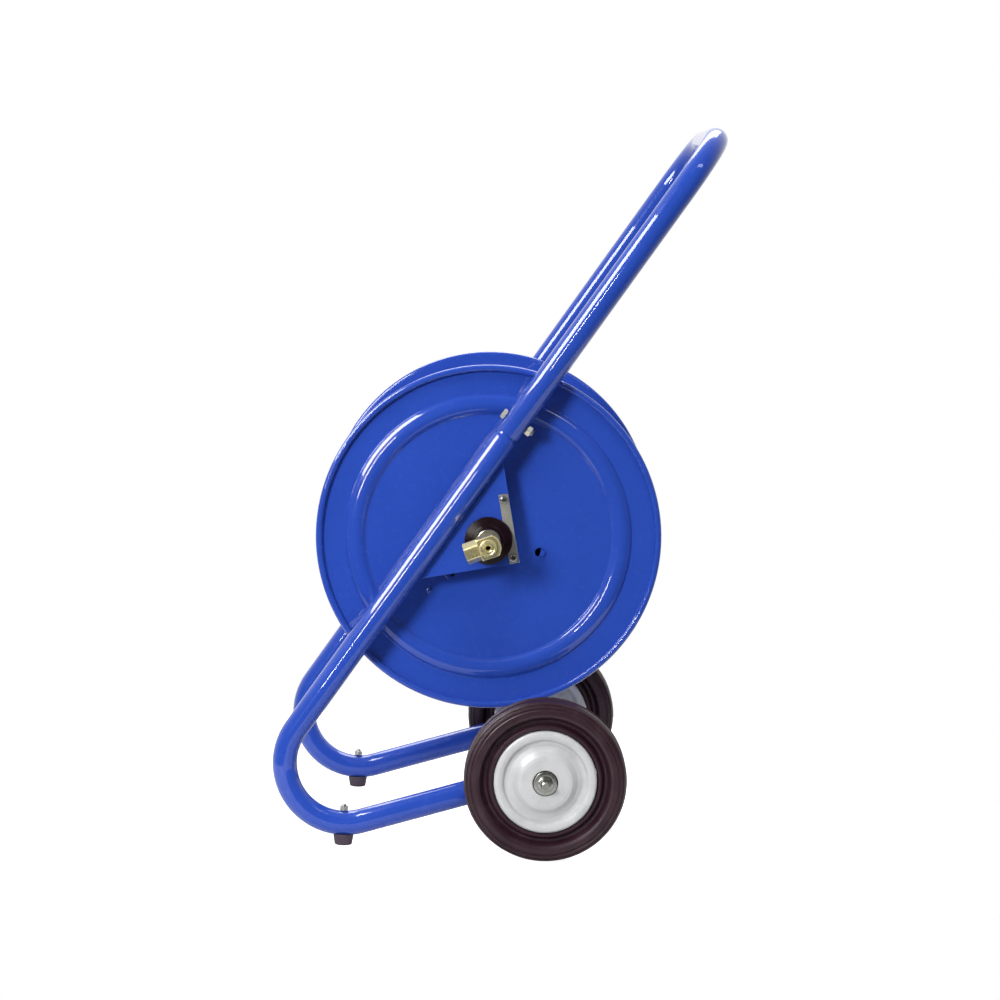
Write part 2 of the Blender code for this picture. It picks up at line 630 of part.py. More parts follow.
# --- Crank --------------------------------------------------------------------------------------
def build_crank():
    """Crank arm on a collar, and the set bolt that fixes it to the shaft."""
    arm = Vector((math.cos(CRANK_ANGLE), 0, math.sin(CRANK_ANGLE)))
    across = Vector((math.sin(CRANK_ANGLE), 0, -math.cos(CRANK_ANGLE)))
    turn = outward(1.0, arm)
    collar = sleeve(COLLAR_START, CRANK_Y + BAR_HALF, SHAFT_R + 0.0005, COLLAR_R, 24)
    crank = add_object("crank_arm", collar, BLUE, REEL, turn)
    half_width = 0.0125
    root = COLLAR_R - 0.0040
    outline = [(root, -half_width), (CRANK_R, -half_width)]
    outline += arc(CRANK_R, 0, half_width, -60, 60, 4) + [(CRANK_R, half_width), (root, half_width)]
    bar = cutter("crank_arm_bar", extruded(outline, CRANK_Y - BAR_HALF, CRANK_Y + BAR_HALF), REEL, turn)
    combine(crank, bar, "UNION")
    drill(crank, KNOB_BOLT_R + GAP, knob_pivot(), OUTBOARD, 0.01)
    set_centre = REEL + OUTBOARD * SET_BOLT_Y + across * (COLLAR_R - 0.0020)
    drill(crank, PIN_HOLE_R, set_centre, across, 0.006)
    stations = [(-0.0048, PIN_R), (0.0030, PIN_R), (0.0030, PIN_HALF_FLATS, "hex"),
                (0.0080, PIN_HALF_FLATS, "hex")]
    bolt = turned(stations, 12)
    add_object("crank_set_bolt", bolt, ZINC, set_centre, facing(across, OUTBOARD))


def knob_pivot():
    """Centre of the knob's pivot hole in the crank bar."""
    arm = Vector((math.cos(CRANK_ANGLE), 0, math.sin(CRANK_ANGLE)))
    return REEL + arm * CRANK_R + OUTBOARD * CRANK_Y


def build_knob():
    """Free-turning crank knob on its shoulder bolt, with a nut behind the bar."""
    length = KNOB_OUT - CRANK_Y
    seat = length - 0.0090            # the bolt's head is sunk in the knob's end
    spindle = [(-0.0125, KNOB_BOLT_R), (seat + 2 * GAP, KNOB_BOLT_R), (seat + 2 * GAP, 0.0080),
               (length - 0.0030, 0.0080)]
    add_object("knob_bolt", turned(spindle, 16), ZINC, knob_pivot(), outward(1.0))
    nut_place = knob_pivot() - OUTBOARD * (BAR_HALF + GAP)
    build_nut("knob_nut", nut_place, -OUTBOARD, 0.0080, KNOB_BOLT_R + GAP, 0.0075)
    foot = BAR_HALF + 0.0016
    bore = KNOB_BOLT_R + 0.0004
    knob = [(foot, bore), (foot, 0.0115), (foot + 0.0065, 0.0138), (0.8 * length, 0.0158),
            (length - 0.0040, 0.0140), (length, 0.0105), (length, 0.0088), (seat, 0.0088), (seat, bore)]
    add_object("crank_knob", turned(knob, 16, True), NYLON, knob_pivot(), outward(1.0))


# --- Swivel inlet -------------------------------------------------------------------------------
def build_nipple():
    """Brass nipple in the shaft's inlet end, which turns with the reel inside the elbow."""
    bore = 0.0062
    hex_start = SHAFT_END + 0.0004
    stations = [(SHAFT_END - 0.0200, bore), (SHAFT_END - 0.0200, SHAFT_BORE_R - 0.0004),
                (hex_start, SHAFT_BORE_R - 0.0004), (hex_start, 0.0120, "hex"),
                (0.1905, 0.0120, "hex"), (0.1905, NIPPLE_R), (0.2190, NIPPLE_R), (0.2190, bore)]
    add_object("swivel_nipple", turned(stations, 12, True), BRASS, REEL, outward(-1.0))
    seal = sleeve(0.1932, 0.1976, NIPPLE_R + 0.0004, SEAT_R - 0.0004)
    add_object("swivel_seal", seal, NYLON, REEL, outward(-1.0))


def build_elbow():
    """Brass elbow with a hexagonal hose port, and the plug that closes its outboard end."""
    port = Vector((math.cos(PORT_ANGLE), 0, math.sin(PORT_ANGLE)))
    turn = outward(-1.0, port)
    block = [(0.0120, -0.0138), (0.0120, 0.0138), (-0.0105, 0.0138), (-0.0155, 0.0068),
             (-0.0162, 0.0), (-0.0155, -0.0068), (-0.0105, -0.0138)]
    elbow = add_object("swivel_elbow", extruded(block, 0.2120, ELBOW_FACE), BRASS, REEL, turn)
    neck = cutter("swivel_elbow_neck", turned([(ELBOW_BACK, 0.0140), (0.2130, 0.0140)], 24), REEL, turn)
    combine(elbow, neck, "UNION")
    middle = REEL - OUTBOARD * PORT_Y
    boss = turned([(0.0110, PORT_HALF_FLATS, "hex"), (PORT_FACE, PORT_HALF_FLATS, "hex")], 12)
    hex_port = cutter("swivel_elbow_port", boss, middle, facing(port, port.cross(OUTBOARD)))
    combine(elbow, hex_port, "UNION")
    bores = [("bore", ELBOW_BACK - 0.0025, 0.2370, NIPPLE_R + 0.0007),
             ("seat", ELBOW_BACK - 0.0025, 0.1980, SEAT_R), ("front", 0.2350, 0.2500, 0.0075)]
    for label, start, end, radius in bores:
        tool = cutter("swivel_elbow_" + label, turned([(start, radius), (end, radius)], 16), REEL, turn)
        combine(elbow, tool, "DIFFERENCE")
    socket = turned([(0.0005, PORT_BORE_R), (0.0400, PORT_BORE_R)], 16)
    thread = cutter("swivel_elbow_thread", socket, middle, facing(port))
    combine(elbow, thread, "DIFFERENCE")
    face = ELBOW_FACE + GAP
    plug = [(0.2400, 0.0026), (0.2400, 0.0071), (face, 0.0071), (face, 0.0109), (0.2495, 0.0109),
            (0.2500, 0.0060), (0.2485, 0.0026)]
    add_object("swivel_plug", turned(plug, 16, True), BRASS, REEL, turn)


def build_cart():
    """Build every piece of the cart."""
    for name, side in SIDES:
        build_side_tube(name, side)
        build_handle_bolts(name, side)
        build_bracket(name, side)
        build_strip(name, side)
        build_bearing(name, side)
        build_axle_end(name, side)
        build_wheel(name, side)
        build_foot(name, side)
        build_plug(name, side)
        build_disc(name, side)
    build_handle()
    build_axle()
    build_shaft()
    build_drum()
    build_riser()
    build_clamp()
    build_crank()
    build_knob()
    build_nipple()
    build_elbow()


clear_scene()
CART = bpy.data.objects.new("cart", None)
bpy.context.scene.collection.objects.link(CART)
CART.location = (-MID_X, -MID_Y, 0.0)
build_cart()
bpy.context.view_layer.update()
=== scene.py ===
"""Looks of the garden hose reel cart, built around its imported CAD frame.

Metres, +Z up. The reel and the wheels turn about axes along Y. "left" is the inlet side (-Y) and
"right" is the crank side (+Y). Lengths along Y are distances outboard of the cart's middle plane.
"""
import json
import math

import bmesh
import bpy
from mathutils import Matrix, Vector


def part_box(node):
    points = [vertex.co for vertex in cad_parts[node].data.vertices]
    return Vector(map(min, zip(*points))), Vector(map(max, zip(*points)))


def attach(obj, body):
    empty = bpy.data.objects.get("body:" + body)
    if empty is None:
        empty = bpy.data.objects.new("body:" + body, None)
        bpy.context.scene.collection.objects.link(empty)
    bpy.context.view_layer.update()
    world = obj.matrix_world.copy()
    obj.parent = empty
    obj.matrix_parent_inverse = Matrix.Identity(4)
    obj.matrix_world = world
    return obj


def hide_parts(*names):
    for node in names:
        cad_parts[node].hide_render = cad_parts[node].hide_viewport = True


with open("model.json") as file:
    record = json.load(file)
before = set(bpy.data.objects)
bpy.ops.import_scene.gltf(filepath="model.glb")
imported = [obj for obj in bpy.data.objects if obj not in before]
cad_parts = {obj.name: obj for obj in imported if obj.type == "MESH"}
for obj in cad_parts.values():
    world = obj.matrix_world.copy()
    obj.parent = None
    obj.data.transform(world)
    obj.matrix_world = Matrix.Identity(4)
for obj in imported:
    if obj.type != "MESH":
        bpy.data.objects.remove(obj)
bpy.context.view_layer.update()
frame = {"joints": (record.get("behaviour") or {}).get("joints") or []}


# --- Places that the CAD frame gives ---
def joint_place(name):
    """Where a joint's axis is."""
    return Vector(next(joint["pos_m"] for joint in frame["joints"] if joint["name"] == name))


def middle_of(node):
    """Centre of a CAD node's box."""
    low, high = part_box(node)
    return (low + high) / 2


def size_of(node):
    """Size of a CAD node's box."""
    low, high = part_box(node)
    return high - low


def way_at(angle):
    """Direction in the side view at an angle above +X."""
    return Vector((math.cos(angle), 0, math.sin(angle)))


REEL = joint_place("reel_spin")
AXLE = joint_place("left_wheel_spin")
KNOB = joint_place("knob_spin")
MIDDLE = REEL.y                             # the cart's middle plane
SIDES = (("left", -1.0), ("right", 1.0))
OUT = Vector((0, 1, 0))
UP = Vector((0, 0, 1))

# --- Driving dimensions, as in the CAD source ---
GAP = 0.0003
SHARP_CORNER = 1.16                         # beyond a hexagon's corners, so none is turned off
TUBE_R = size_of("frame_tube_left").y / 2
TUBE_WALL = 0.0016
TUBE_Y = MIDDLE - middle_of("frame_tube_left").y
BEND_R = 0.078
INCLINE = math.radians(56.3)
FOOT_HEIGHT = 0.0116
SWAGE_START = 0.4625
HANDLE_START = 0.4665
SWAGE_LENGTH = 0.060
HANDLE_BOLT_AT = 0.4860
DISC_R = 0.2224
DISC_WEB_Y = 0.1340
SHEET = 0.0016
DRUM_R = 0.0715
SHAFT_R = 0.0150
TAB_RADIUS = 0.0685
TAB_ANGLES = [math.radians(angle) for angle in (-15.0, 105.0, 225.0)]
PLATE_Y = 0.1666
PLATE_HALF = 0.002
PLATE_CORNER = 0.0495
STRIP_HALF = 0.00125
REEL_BELOW = 0.0594
FLANGE_R = 0.0305
BEARING_R = 0.0205
AXLE_R = 0.00635
SPACER_R = 0.0111
WHEEL_R = 0.1036
WHEEL_Y = 0.2186
PORT_ANGLE = math.radians(201.5)
PORT_Y = 0.2288
PORT_FACE = 0.0305
RISER_ANGLE = math.radians(208.0)
RISER_Y = 0.1160
RISER_R = 0.0107
RISER_RUN = 0.088
RISER_LENGTH = 0.040
CLAMP_AT = 0.029
RIVET_RUN = 0.0997
RIVET_HOLE_R = 0.0023
SCREW_HOLE_R = 0.0028
SCREWS_ALONG = (0.0075, 0.0835)             # along the bracket's slotted edge from its corner
SCREW_INSET = 0.0075
CRANK_Y = KNOB.y - MIDDLE
CRANK_R = math.hypot(KNOB.x - REEL.x, KNOB.z - REEL.z)

# --- Points and directions that follow from them ---
ALONG = way_at(INCLINE)
ACROSS = Vector((-math.sin(INCLINE), 0.0, math.cos(INCLINE)))
EDGE = (ALONG + ACROSS).normalized()
INWARD = (ACROSS - ALONG).normalized()
BEND_CENTRE = Vector((middle_of("foot_left").x, MIDDLE, FOOT_HEIGHT + TUBE_R + BEND_R))
RAKE_START = BEND_CENTRE + ACROSS * BEND_R
LEG_REACH = AXLE - BEND_CENTRE
LEG_SLOPE = math.atan2(LEG_REACH.z, LEG_REACH.x) + math.asin(BEND_R / LEG_REACH.length)
LEG = way_at(LEG_SLOPE)
LEG_END = AXLE + LEG * 0.024
HANDLE_TOP = (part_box("handle_tube")[1].x - TUBE_R - RAKE_START.x) / ALONG.x
PORT = way_at(PORT_ANGLE)
RADIAL = way_at(RISER_ANGLE)
TANGENTIAL = Vector((-math.sin(RISER_ANGLE), 0, math.cos(RISER_ANGLE)))
RIVET = REEL + RADIAL * RIVET_RUN + TANGENTIAL * CLAMP_AT
ARM = Vector((KNOB.x - REEL.x, 0, KNOB.z - REEL.z)).normalized()
ARM_SIDE = Vector((ARM.z, 0, -ARM.x))


# --- Materials ---
def add_node(material, kind, **inputs):
    """A new node with its input sockets set by name, where a space is written as an underscore."""
    made = material.node_tree.nodes.new(kind)
    for name, value in inputs.items():
        made.inputs[name.replace("_", " ")].default_value = value
    return made


def link(material, source, target):
    """Join an output socket to an input socket."""
    material.node_tree.links.new(source, target)


def object_place(material, stretch=(1, 1, 1)):
    """Object coordinates, stretched along the axes."""
    place = add_node(material, "ShaderNodeTexCoord")
    mapping = add_node(material, "ShaderNodeMapping", Scale=stretch)
    link(material, place.outputs["Object"], mapping.inputs["Vector"])
    return mapping.outputs["Vector"]


def noise(material, vector, scale, detail=3.0, roughness=0.55):
    """Noise between 0 and 1."""
    made = add_node(material, "ShaderNodeTexNoise", Scale=scale, Detail=detail, Roughness=roughness)
    link(material, vector, made.inputs["Vector"])
    return made.outputs["Fac"]


def ramp(material, factor, stops):
    """Colour along a ramp of (place, colour) stops."""
    made = material.node_tree.nodes.new("ShaderNodeValToRGB")
    while len(made.color_ramp.elements) < len(stops):
        made.color_ramp.elements.new(0.5)
    for element, (place, colour) in zip(made.color_ramp.elements, stops):
        element.position = place
        element.color = (*colour, 1.0)
    link(material, factor, made.inputs["Fac"])
    return made.outputs["Color"]


def remap(material, factor, low, high, start=0.3, end=0.7):
    """Map a factor from start to end onto low to high."""
    made = add_node(material, "ShaderNodeMapRange")
    for index, value in enumerate((start, end, low, high), start=1):
        made.inputs[index].default_value = value
    link(material, factor, made.inputs[0])
    return made.outputs["Result"]


def bump(material, height, distance, strength, before=None):
    """Normal with a relief of a given depth in metres."""
    made = add_node(material, "ShaderNodeBump", Distance=distance, Strength=strength)
    link(material, height, made.inputs["Height"])
    if before is not None:
        link(material, before, made.inputs["Normal"])
    return made.outputs["Normal"]


def ring_distance(material):
    """Distance from the piece's own Y axis."""
    vector = object_place(material, (1, 0, 1))
    made = material.node_tree.nodes.new("ShaderNodeVectorMath")
    made.operation = "LENGTH"
    link(material, vector, made.inputs[0])
    return made.outputs["Value"]


def reckon(material, operation, value, number=0.0):
    """One step of arithmetic on a value."""
    made = material.node_tree.nodes.new("ShaderNodeMath")
    made.operation = operation
    made.inputs[1].default_value = number
    link(material, value, made.inputs[0])
    return made.outputs["Value"]


def sine(material, value, frequency):
    """Sine of a value times a frequency."""
    return reckon(material, "SINE", reckon(material, "MULTIPLY", value, frequency))


def new_material(name, colour, roughness, **sockets):
    """A Principled material with its sockets set by name, and its object coordinates."""
    made = bpy.data.materials.new(name)
    made.use_nodes = True
    shader = made.node_tree.nodes["Principled BSDF"]
    shader.inputs["Base Color"].default_value = (*colour, 1.0)
    shader.inputs["Roughness"].default_value = roughness
    for socket, value in sockets.items():
        shader.inputs[socket.replace("_", " ")].default_value = value
    return made, shader, object_place(made)


def mottle(material, shader, place, cloud, stops, grit, rough):
    """Let one noise set the colour and another the roughness, each given as noise() takes it."""
    colour = ramp(material, noise(material, place, *cloud), stops)
    link(material, colour, shader.inputs["Base Color"])
    roughness = remap(material, noise(material, place, *grit), *rough)
    link(material, roughness, shader.inputs["Roughness"])


def blue_paint():
    """Glossy blue powder coat with a faint orange peel."""
    made, shader, place = new_material("blue_powder_coat", (0.019, 0.062, 0.38), 0.25, Coat_Weight=1.0,
                                       Coat_Roughness=0.025, Specular_IOR_Level=0.10)
    stops = [(0.30, (0.020, 0.065, 0.405)), (0.70, (0.023, 0.070, 0.43))]
    mottle(made, shader, place, (14.0,), stops, (90.0,), (0.20, 0.30))
    peel = bump(made, noise(made, place, 130.0, 2.0), 0.0004, 0.003)
    speck = bump(made, noise(made, place, 2600.0, 1.0), 0.0001, 0.02, peel)
    link(made, speck, shader.inputs["Normal"])
    link(made, peel, shader.inputs["Coat Normal"])
    return made


def white_paint():
    """Satin white paint on pressed steel, with faint grey smudges."""
    made, shader, place = new_material("white_satin_paint", (0.70, 0.71, 0.72), 0.35,
                                       Coat_Weight=0.15, Coat_Roughness=0.25)
    stops = [(0.28, (0.46, 0.47, 0.48)), (0.50, (0.54, 0.545, 0.55)), (0.75, (0.58, 0.585, 0.59))]
    mottle(made, shader, place, (38.0, 5.0, 0.6), stops, (160.0,), (0.28, 0.44))
    link(made, bump(made, noise(made, place, 700.0, 2.0), 0.0003, 0.08), shader.inputs["Normal"])
    return made


def tyre_rubber():
    """Dark plum-brown moulded rubber with mould rings around the axle and a dusty bloom."""
    made, shader, place = new_material("tyre_rubber", (0.026, 0.012, 0.018), 0.40,
                                       Specular_IOR_Level=0.42)
    stops = [(0.30, (0.021, 0.006, 0.012)), (0.52, (0.030, 0.011, 0.018)), (0.78, (0.048, 0.026, 0.033))]
    mottle(made, shader, place, (26.0, 6.0, 0.62), stops, (120.0, 4.0), (0.32, 0.50))
    rings = sine(made, ring_distance(made), 5200.0)
    grain = bump(made, noise(made, place, 1500.0, 3.0), 0.0004, 0.18)
    link(made, bump(made, rings, 0.00008, 0.25, grain), shader.inputs["Normal"])
    return made


def foot_rubber():
    """Matt moulded rubber of the feet."""
    made, shader, place = new_material("foot_rubber", (0.050, 0.040, 0.050), 0.6)
    stops = [(0.3, (0.046, 0.028, 0.046)), (0.7, (0.074, 0.050, 0.075))]
    mottle(made, shader, place, (60.0, 4.0), stops, (300.0,), (0.48, 0.68))
    link(made, bump(made, noise(made, place, 1300.0), 0.0004, 0.2), shader.inputs["Normal"])
    return made


def black_nylon():
    """Dark brown-black nylon with fine turning marks around its own Y axis."""
    made, shader, place = new_material("turned_nylon", (0.012, 0.004, 0.009), 0.26, Anisotropic=0.9,
                                       Anisotropic_Rotation=0.25)
    tangent = made.node_tree.nodes.new("ShaderNodeTangent")
    tangent.direction_type = "RADIAL"
    tangent.axis = "Y"
    link(made, tangent.outputs["Tangent"], shader.inputs["Tangent"])
    stops = [(0.3, (0.006, 0.001, 0.003)), (0.7, (0.011, 0.003, 0.007))]
    mottle(made, shader, place, (45.0, 4.0), stops, (220.0,), (0.28, 0.38))
    rings = sine(made, ring_distance(made), 9000.0)
    grain = bump(made, noise(made, place, 1800.0), 0.0001, 0.04)
    link(made, bump(made, rings, 0.00002, 0.05, grain), shader.inputs["Normal"])
    return made


def zinc(name="zinc_plate", stretch=(1, 1, 1), rough=(0.26, 0.36), tone=0.76):
    """Bright zinc plate: cloudy grey metal with fine scratches along one direction."""
    made, shader, place = new_material(name, (0.52, 0.52, 0.48), 0.3, Metallic=1.0)
    greys = ((0.30, (0.56, 0.56, 0.51)), (0.55, (0.62, 0.62, 0.58)), (0.78, (0.70, 0.70, 0.67)))
    stops = [(stop, [tone * part for part in grey]) for stop, grey in greys]
    mottle(made, shader, place, (420.0, 5.0, 0.6), stops, (600.0, 4.0), rough)
    scratch = noise(made, object_place(made, stretch), 900.0, 2.0)
    link(made, bump(made, scratch, 0.00005, 0.05), shader.inputs["Normal"])
    return made


def brass():
    """Machined yellow brass with faint tool marks and a little tarnish."""
    made, shader, place = new_material("machined_brass", (0.80, 0.71, 0.38), 0.30, Metallic=0.82)
    stops = [(0.28, (0.76, 0.66, 0.34)), (0.50, (0.80, 0.71, 0.38)), (0.75, (0.84, 0.76, 0.43))]
    mottle(made, shader, place, (260.0, 4.0, 0.5), stops, (420.0, 3.0), (0.26, 0.34))
    marks = noise(made, object_place(made, (1, 9, 1)), 500.0, 2.0)
    link(made, bump(made, marks, 0.00005, 0.03), shader.inputs["Normal"])
    return made


def floor_paint():
    """Plain pale floor with a barely visible mottle, lit up to white where the camera sees it."""
    made, shader, place = new_material("studio_floor", (0.69, 0.69, 0.69), 0.7,
                                       Emission_Color=(1.0, 1.0, 1.0, 1.0))
    colour = ramp(made, noise(made, place, 3.0), [(0.3, (0.68, 0.68, 0.68)), (0.7, (0.70, 0.70, 0.70))])
    link(made, colour, shader.inputs["Base Color"])
    ray = made.node_tree.nodes.new("ShaderNodeLightPath")
    lift = reckon(made, "MULTIPLY", ray.outputs["Is Camera Ray"], 0.90)
    link(made, lift, shader.inputs["Emission Strength"])
    return made


BLUE = blue_paint()
WHITE = white_paint()
TYRE = tyre_rubber()
FOOT_RUBBER = foot_rubber()
NYLON = black_nylon()
ZINC = zinc()
STRIP_ZINC = zinc("zinc_plate_strip", (6, 6, 1), (0.40, 0.55), 1.10)
BRASS = brass()


# --- Mesh tools ---
def skin_loops(bm, loops, closed):
    """Skin a row of equal rings of vertices, with end caps or closed on itself."""
    pairs = list(zip(loops, loops[1:]))
    if closed:
        pairs.append((loops[-1], loops[0]))
    count = len(loops[0])
    for near, far in pairs:
        for index in range(count):
            after = (index + 1) % count
            bm.faces.new((near[index], near[after], far[after], far[index]))
    if not closed:
        bm.faces.new(loops[0])
        bm.faces.new(loops[-1])


def value_at(value, angle):
    """A number, or what a function gives at an angle."""
    return value(angle) if callable(value) else value


def turned(rows, segments=64, closed=False):
    """A piece turned about +Z from (height, radius) rows. Either may be a function of the angle."""
    bm = bmesh.new()
    loops = []
    for height, radius in rows:
        loop = []
        for index in range(segments):
            angle = 2 * math.pi * index / segments
            reach = value_at(radius, angle)
            place = (reach * math.cos(angle), reach * math.sin(angle), value_at(height, angle))
            loop.append(bm.verts.new(place))
        loops.append(loop)
    skin_loops(bm, loops, closed)
    return bm


def extruded(outline, low, high, edge=0.0, centre=(0.0, 0.0)):
    """A plate along +Z from an outline of (x, y) points, its upper edge broken towards a centre."""
    bm = bmesh.new()
    reach = max(math.dist(point, centre) for point in outline)
    stations = [(low, 1.0), (high, 1 - edge / reach)]
    if edge > 0:
        stations.insert(1, (high - edge, 1.0))
    loops = []
    for height, scale in stations:
        loop = []
        for x, y in outline:
            place_x = centre[0] + (x - centre[0]) * scale
            place_y = centre[1] + (y - centre[1]) * scale
            loop.append(bm.verts.new((place_x, place_y, height)))
        loops.append(loop)
    skin_loops(bm, loops, False)
    return bm


def arc(centre_x, centre_y, radius, start, end, steps):
    """Points along a circular arc, angles in degrees."""
    angles = [math.radians(start + (end - start) * index / steps) for index in range(steps + 1)]
    return [(centre_x + radius * math.cos(a), centre_y + radius * math.sin(a)) for a in angles]


def rounded(points, radius, steps=4, closed=True):
    """An outline with every corner rounded off by a radius, or by a point's own third number."""
    made = []
    count = len(points)
    for index, point in enumerate(points):
        here = Vector(point[:2])
        fillet = point[2] if len(point) > 2 else radius
        ends = index in (0, count - 1) and not closed
        come = here - Vector(points[index - 1][:2])
        leave = Vector(points[(index + 1) % count][:2]) - here
        bend = 0.0 if ends else come.angle(leave, 0.0)
        if fillet <= 0 or bend < 0.05:
            made.append(tuple(here))
            continue
        reach = fillet * math.tan(bend / 2)
        reach = min(reach, 0.45 * come.length, 0.45 * leave.length)
        start = here - come.normalized() * reach
        end = here + leave.normalized() * reach
        for step in range(steps + 1):
            t = step / steps
            made.append(tuple(start * (1 - t) ** 2 + here * (2 * t * (1 - t)) + end * t ** 2))
    return made


def ring(outline, fillet, steps, segments):
    """A ring turned about +Z from a closed (height, radius) outline with its corners rounded off."""
    return turned(rounded(outline, fillet, steps), segments, True)


def sleeve(low, high, bore, outer, fillet, steps, segments):
    """A plain ring with its four edges rounded off."""
    return ring([(low, bore), (low, outer), (high, outer), (high, bore)], fillet, steps, segments)


def quarter(height, rise, radius, reach, degrees):
    """Rows of a rounded end: part of an ellipse that is reach wide and rise high."""
    angles = [math.radians(angle) for angle in degrees]
    return [(height + rise * math.sin(a), radius + reach * math.cos(a)) for a in angles]


def filleted_path(corners, radius, steps):
    """Positions and directions along a bent centre line, with an arc at each inner corner."""
    path = [(corners[0], (corners[1] - corners[0]).normalized())]
    for before, corner, after in zip(corners, corners[1:], corners[2:]):
        come = (corner - before).normalized()
        leave = (after - corner).normalized()
        bend = come.angle(leave)
        axis = come.cross(leave).normalized()
        start = corner - come * (radius * math.tan(bend / 2))
        centre = start + axis.cross(come) * radius
        for index in range(steps + 1):
            turn = Matrix.Rotation(bend * index / steps, 3, axis)
            path.append((centre + turn @ (start - centre), turn @ come))
    path.append((corners[-1], (corners[-1] - corners[-2]).normalized()))
    return path


def swept(path, normal, radii, segments=56):
    """A hollow tube along a flat path. radii holds (outer, inner) for each point of it."""
    bm = bmesh.new()
    outer_loops = []
    inner_loops = []
    for (centre, direction), (outer, inner) in zip(path, radii):
        side = normal.cross(direction).normalized()
        for radius, loops in ((outer, outer_loops), (inner, inner_loops)):
            loop = []
            for index in range(segments):
                angle = 2 * math.pi * index / segments
                offset = side * math.cos(angle) + normal * math.sin(angle)
                loop.append(bm.verts.new(centre + offset * radius))
            loops.append(loop)
    skin_loops(bm, outer_loops + inner_loops[::-1], True)
    return bm


def axes(x_axis, y_axis, z_axis):
    """Matrix that turns a piece's own axes to three directions."""
    return Matrix((x_axis, y_axis, z_axis)).transposed().to_4x4()


def facing(direction, up=None):
    """Matrix that points a piece's +Z along direction, and its +X near up where that isn't parallel."""
    z_axis = direction.normalized()
    if up is None or abs(z_axis.dot(up)) > 0.99:
        return Vector((0, 0, 1)).rotation_difference(z_axis).to_matrix().to_4x4()
    x_axis = (up - z_axis * up.dot(z_axis)).normalized()
    return axes(x_axis, z_axis.cross(x_axis), z_axis)


def outward(side, up=None):
    """Matrix that points a piece's +Z to the outside of one side of the cart."""
    return facing(OUT * side, up if up is not None else Vector((1, 0, 0)))


def add_object(name, content):
    """A new object in the scene."""
    made = bpy.data.objects.new(name, content)
    bpy.context.scene.collection.objects.link(made)
    return made


def to_mesh(name, bm, place, turn=None):
    """An object from a bmesh, with its origin at a place and its turn in the mesh."""
    if turn is not None:
        bmesh.ops.transform(bm, matrix=turn, verts=bm.verts)
    bmesh.ops.recalc_face_normals(bm, faces=bm.faces)
    mesh = bpy.data.meshes.new(name)
    bm.to_mesh(mesh)
    bm.free()
    made = add_object(name, mesh)
    made.location = place
    return made


def carve(made, bm, place, turn=None, operation="DIFFERENCE"):
    """Cut a shape out of an object, or join it on, and keep the result as its mesh."""
    tool = to_mesh("tool", bm, place, turn)
    modifier = made.modifiers.new("carve", "BOOLEAN")
    modifier.operation = operation
    modifier.solver = "EXACT"
    modifier.object = tool
    result = bpy.data.meshes.new_from_object(made.evaluated_get(bpy.context.evaluated_depsgraph_get()))
    made.modifiers.clear()
    spent = (made.data, tool.data)
    made.data = result
    bpy.data.objects.remove(tool)
    for mesh in spent:
        bpy.data.meshes.remove(mesh)


def drill(made, radius, place, direction, depth=0.01, segments=24):
    """Cut a round hole to a depth on both sides of a place."""
    carve(made, turned([(-depth, radius), (depth, radius)], segments), place, facing(direction))


def finish_piece(made, material, body, *nodes, bevel=0.0, sharp=32.0):
    """Shade a piece, paint it, and put it on its body in place of its CAD nodes."""
    if bevel > 0:
        modifier = made.modifiers.new("edge", "BEVEL")
        modifier.width = bevel
        modifier.segments = 2
        modifier.limit_method = "ANGLE"
        modifier.angle_limit = math.radians(34)
    made.data.shade_smooth()
    made.data.set_sharp_from_angle(angle=math.radians(sharp))
    made.data.materials.clear()
    made.data.materials.append(material)
    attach(made, body)
    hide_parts(*nodes)


def piece(node, bm, material, body, place=(0, 0, 0), turn=None, sharp=32.0):
    """A finer mesh for one CAD node."""
    made = to_mesh("fine_" + node, bm, Vector(place), turn)
    finish_piece(made, material, body, node, sharp=sharp)


def hexagon(half_flats, corner):
    """Radius of a hexagon by angle, with its corners turned off at a multiple of the half flats."""
    return lambda angle: half_flats * min(corner, 1 / math.cos(angle % (math.pi / 3) - math.pi / 6))


def hex_rows(low, high, half_flats, chamfer_low=True, corner=SHARP_CORNER):
    """Rows of a hexagonal head whose edges are turned off at 30 degrees."""
    radius = hexagon(half_flats, corner)
    slope = math.tan(math.radians(30))
    crown = half_flats * 0.97
    if chamfer_low:
        rows = [(low, crown), (lambda a: low + (radius(a) - crown) * slope, radius)]
    else:
        rows = [(low, radius)]
    return rows + [(lambda a: high - (radius(a) - crown) * slope, radius), (high, crown)]


def thread_rows(low, high, radius, pitch, depth):
    """Rows of a screw thread from low to high, which fades in at both ends."""
    per_turn = 6
    count = max(2, int(per_turn * (high - low) / pitch))
    rows = []
    for index in range(count + 1):
        height = low + (high - low) * index / count
        fade = min(1.0, (index + 0.01) / per_turn, (count - index + 0.01) / per_turn)

        def crest(angle, height=height, fade=fade):
            phase = (height / pitch - angle / (2 * math.pi)) % 1.0
            return radius - depth * fade * abs(2 * phase - 1)
        rows.append((height, crest))
    return rows


# --- Frame tubes ---
def rake(distance, side):
    """Point on the centre line of a raked side tube."""
    return RAKE_START + ALONG * distance + OUT * (side * TUBE_Y)


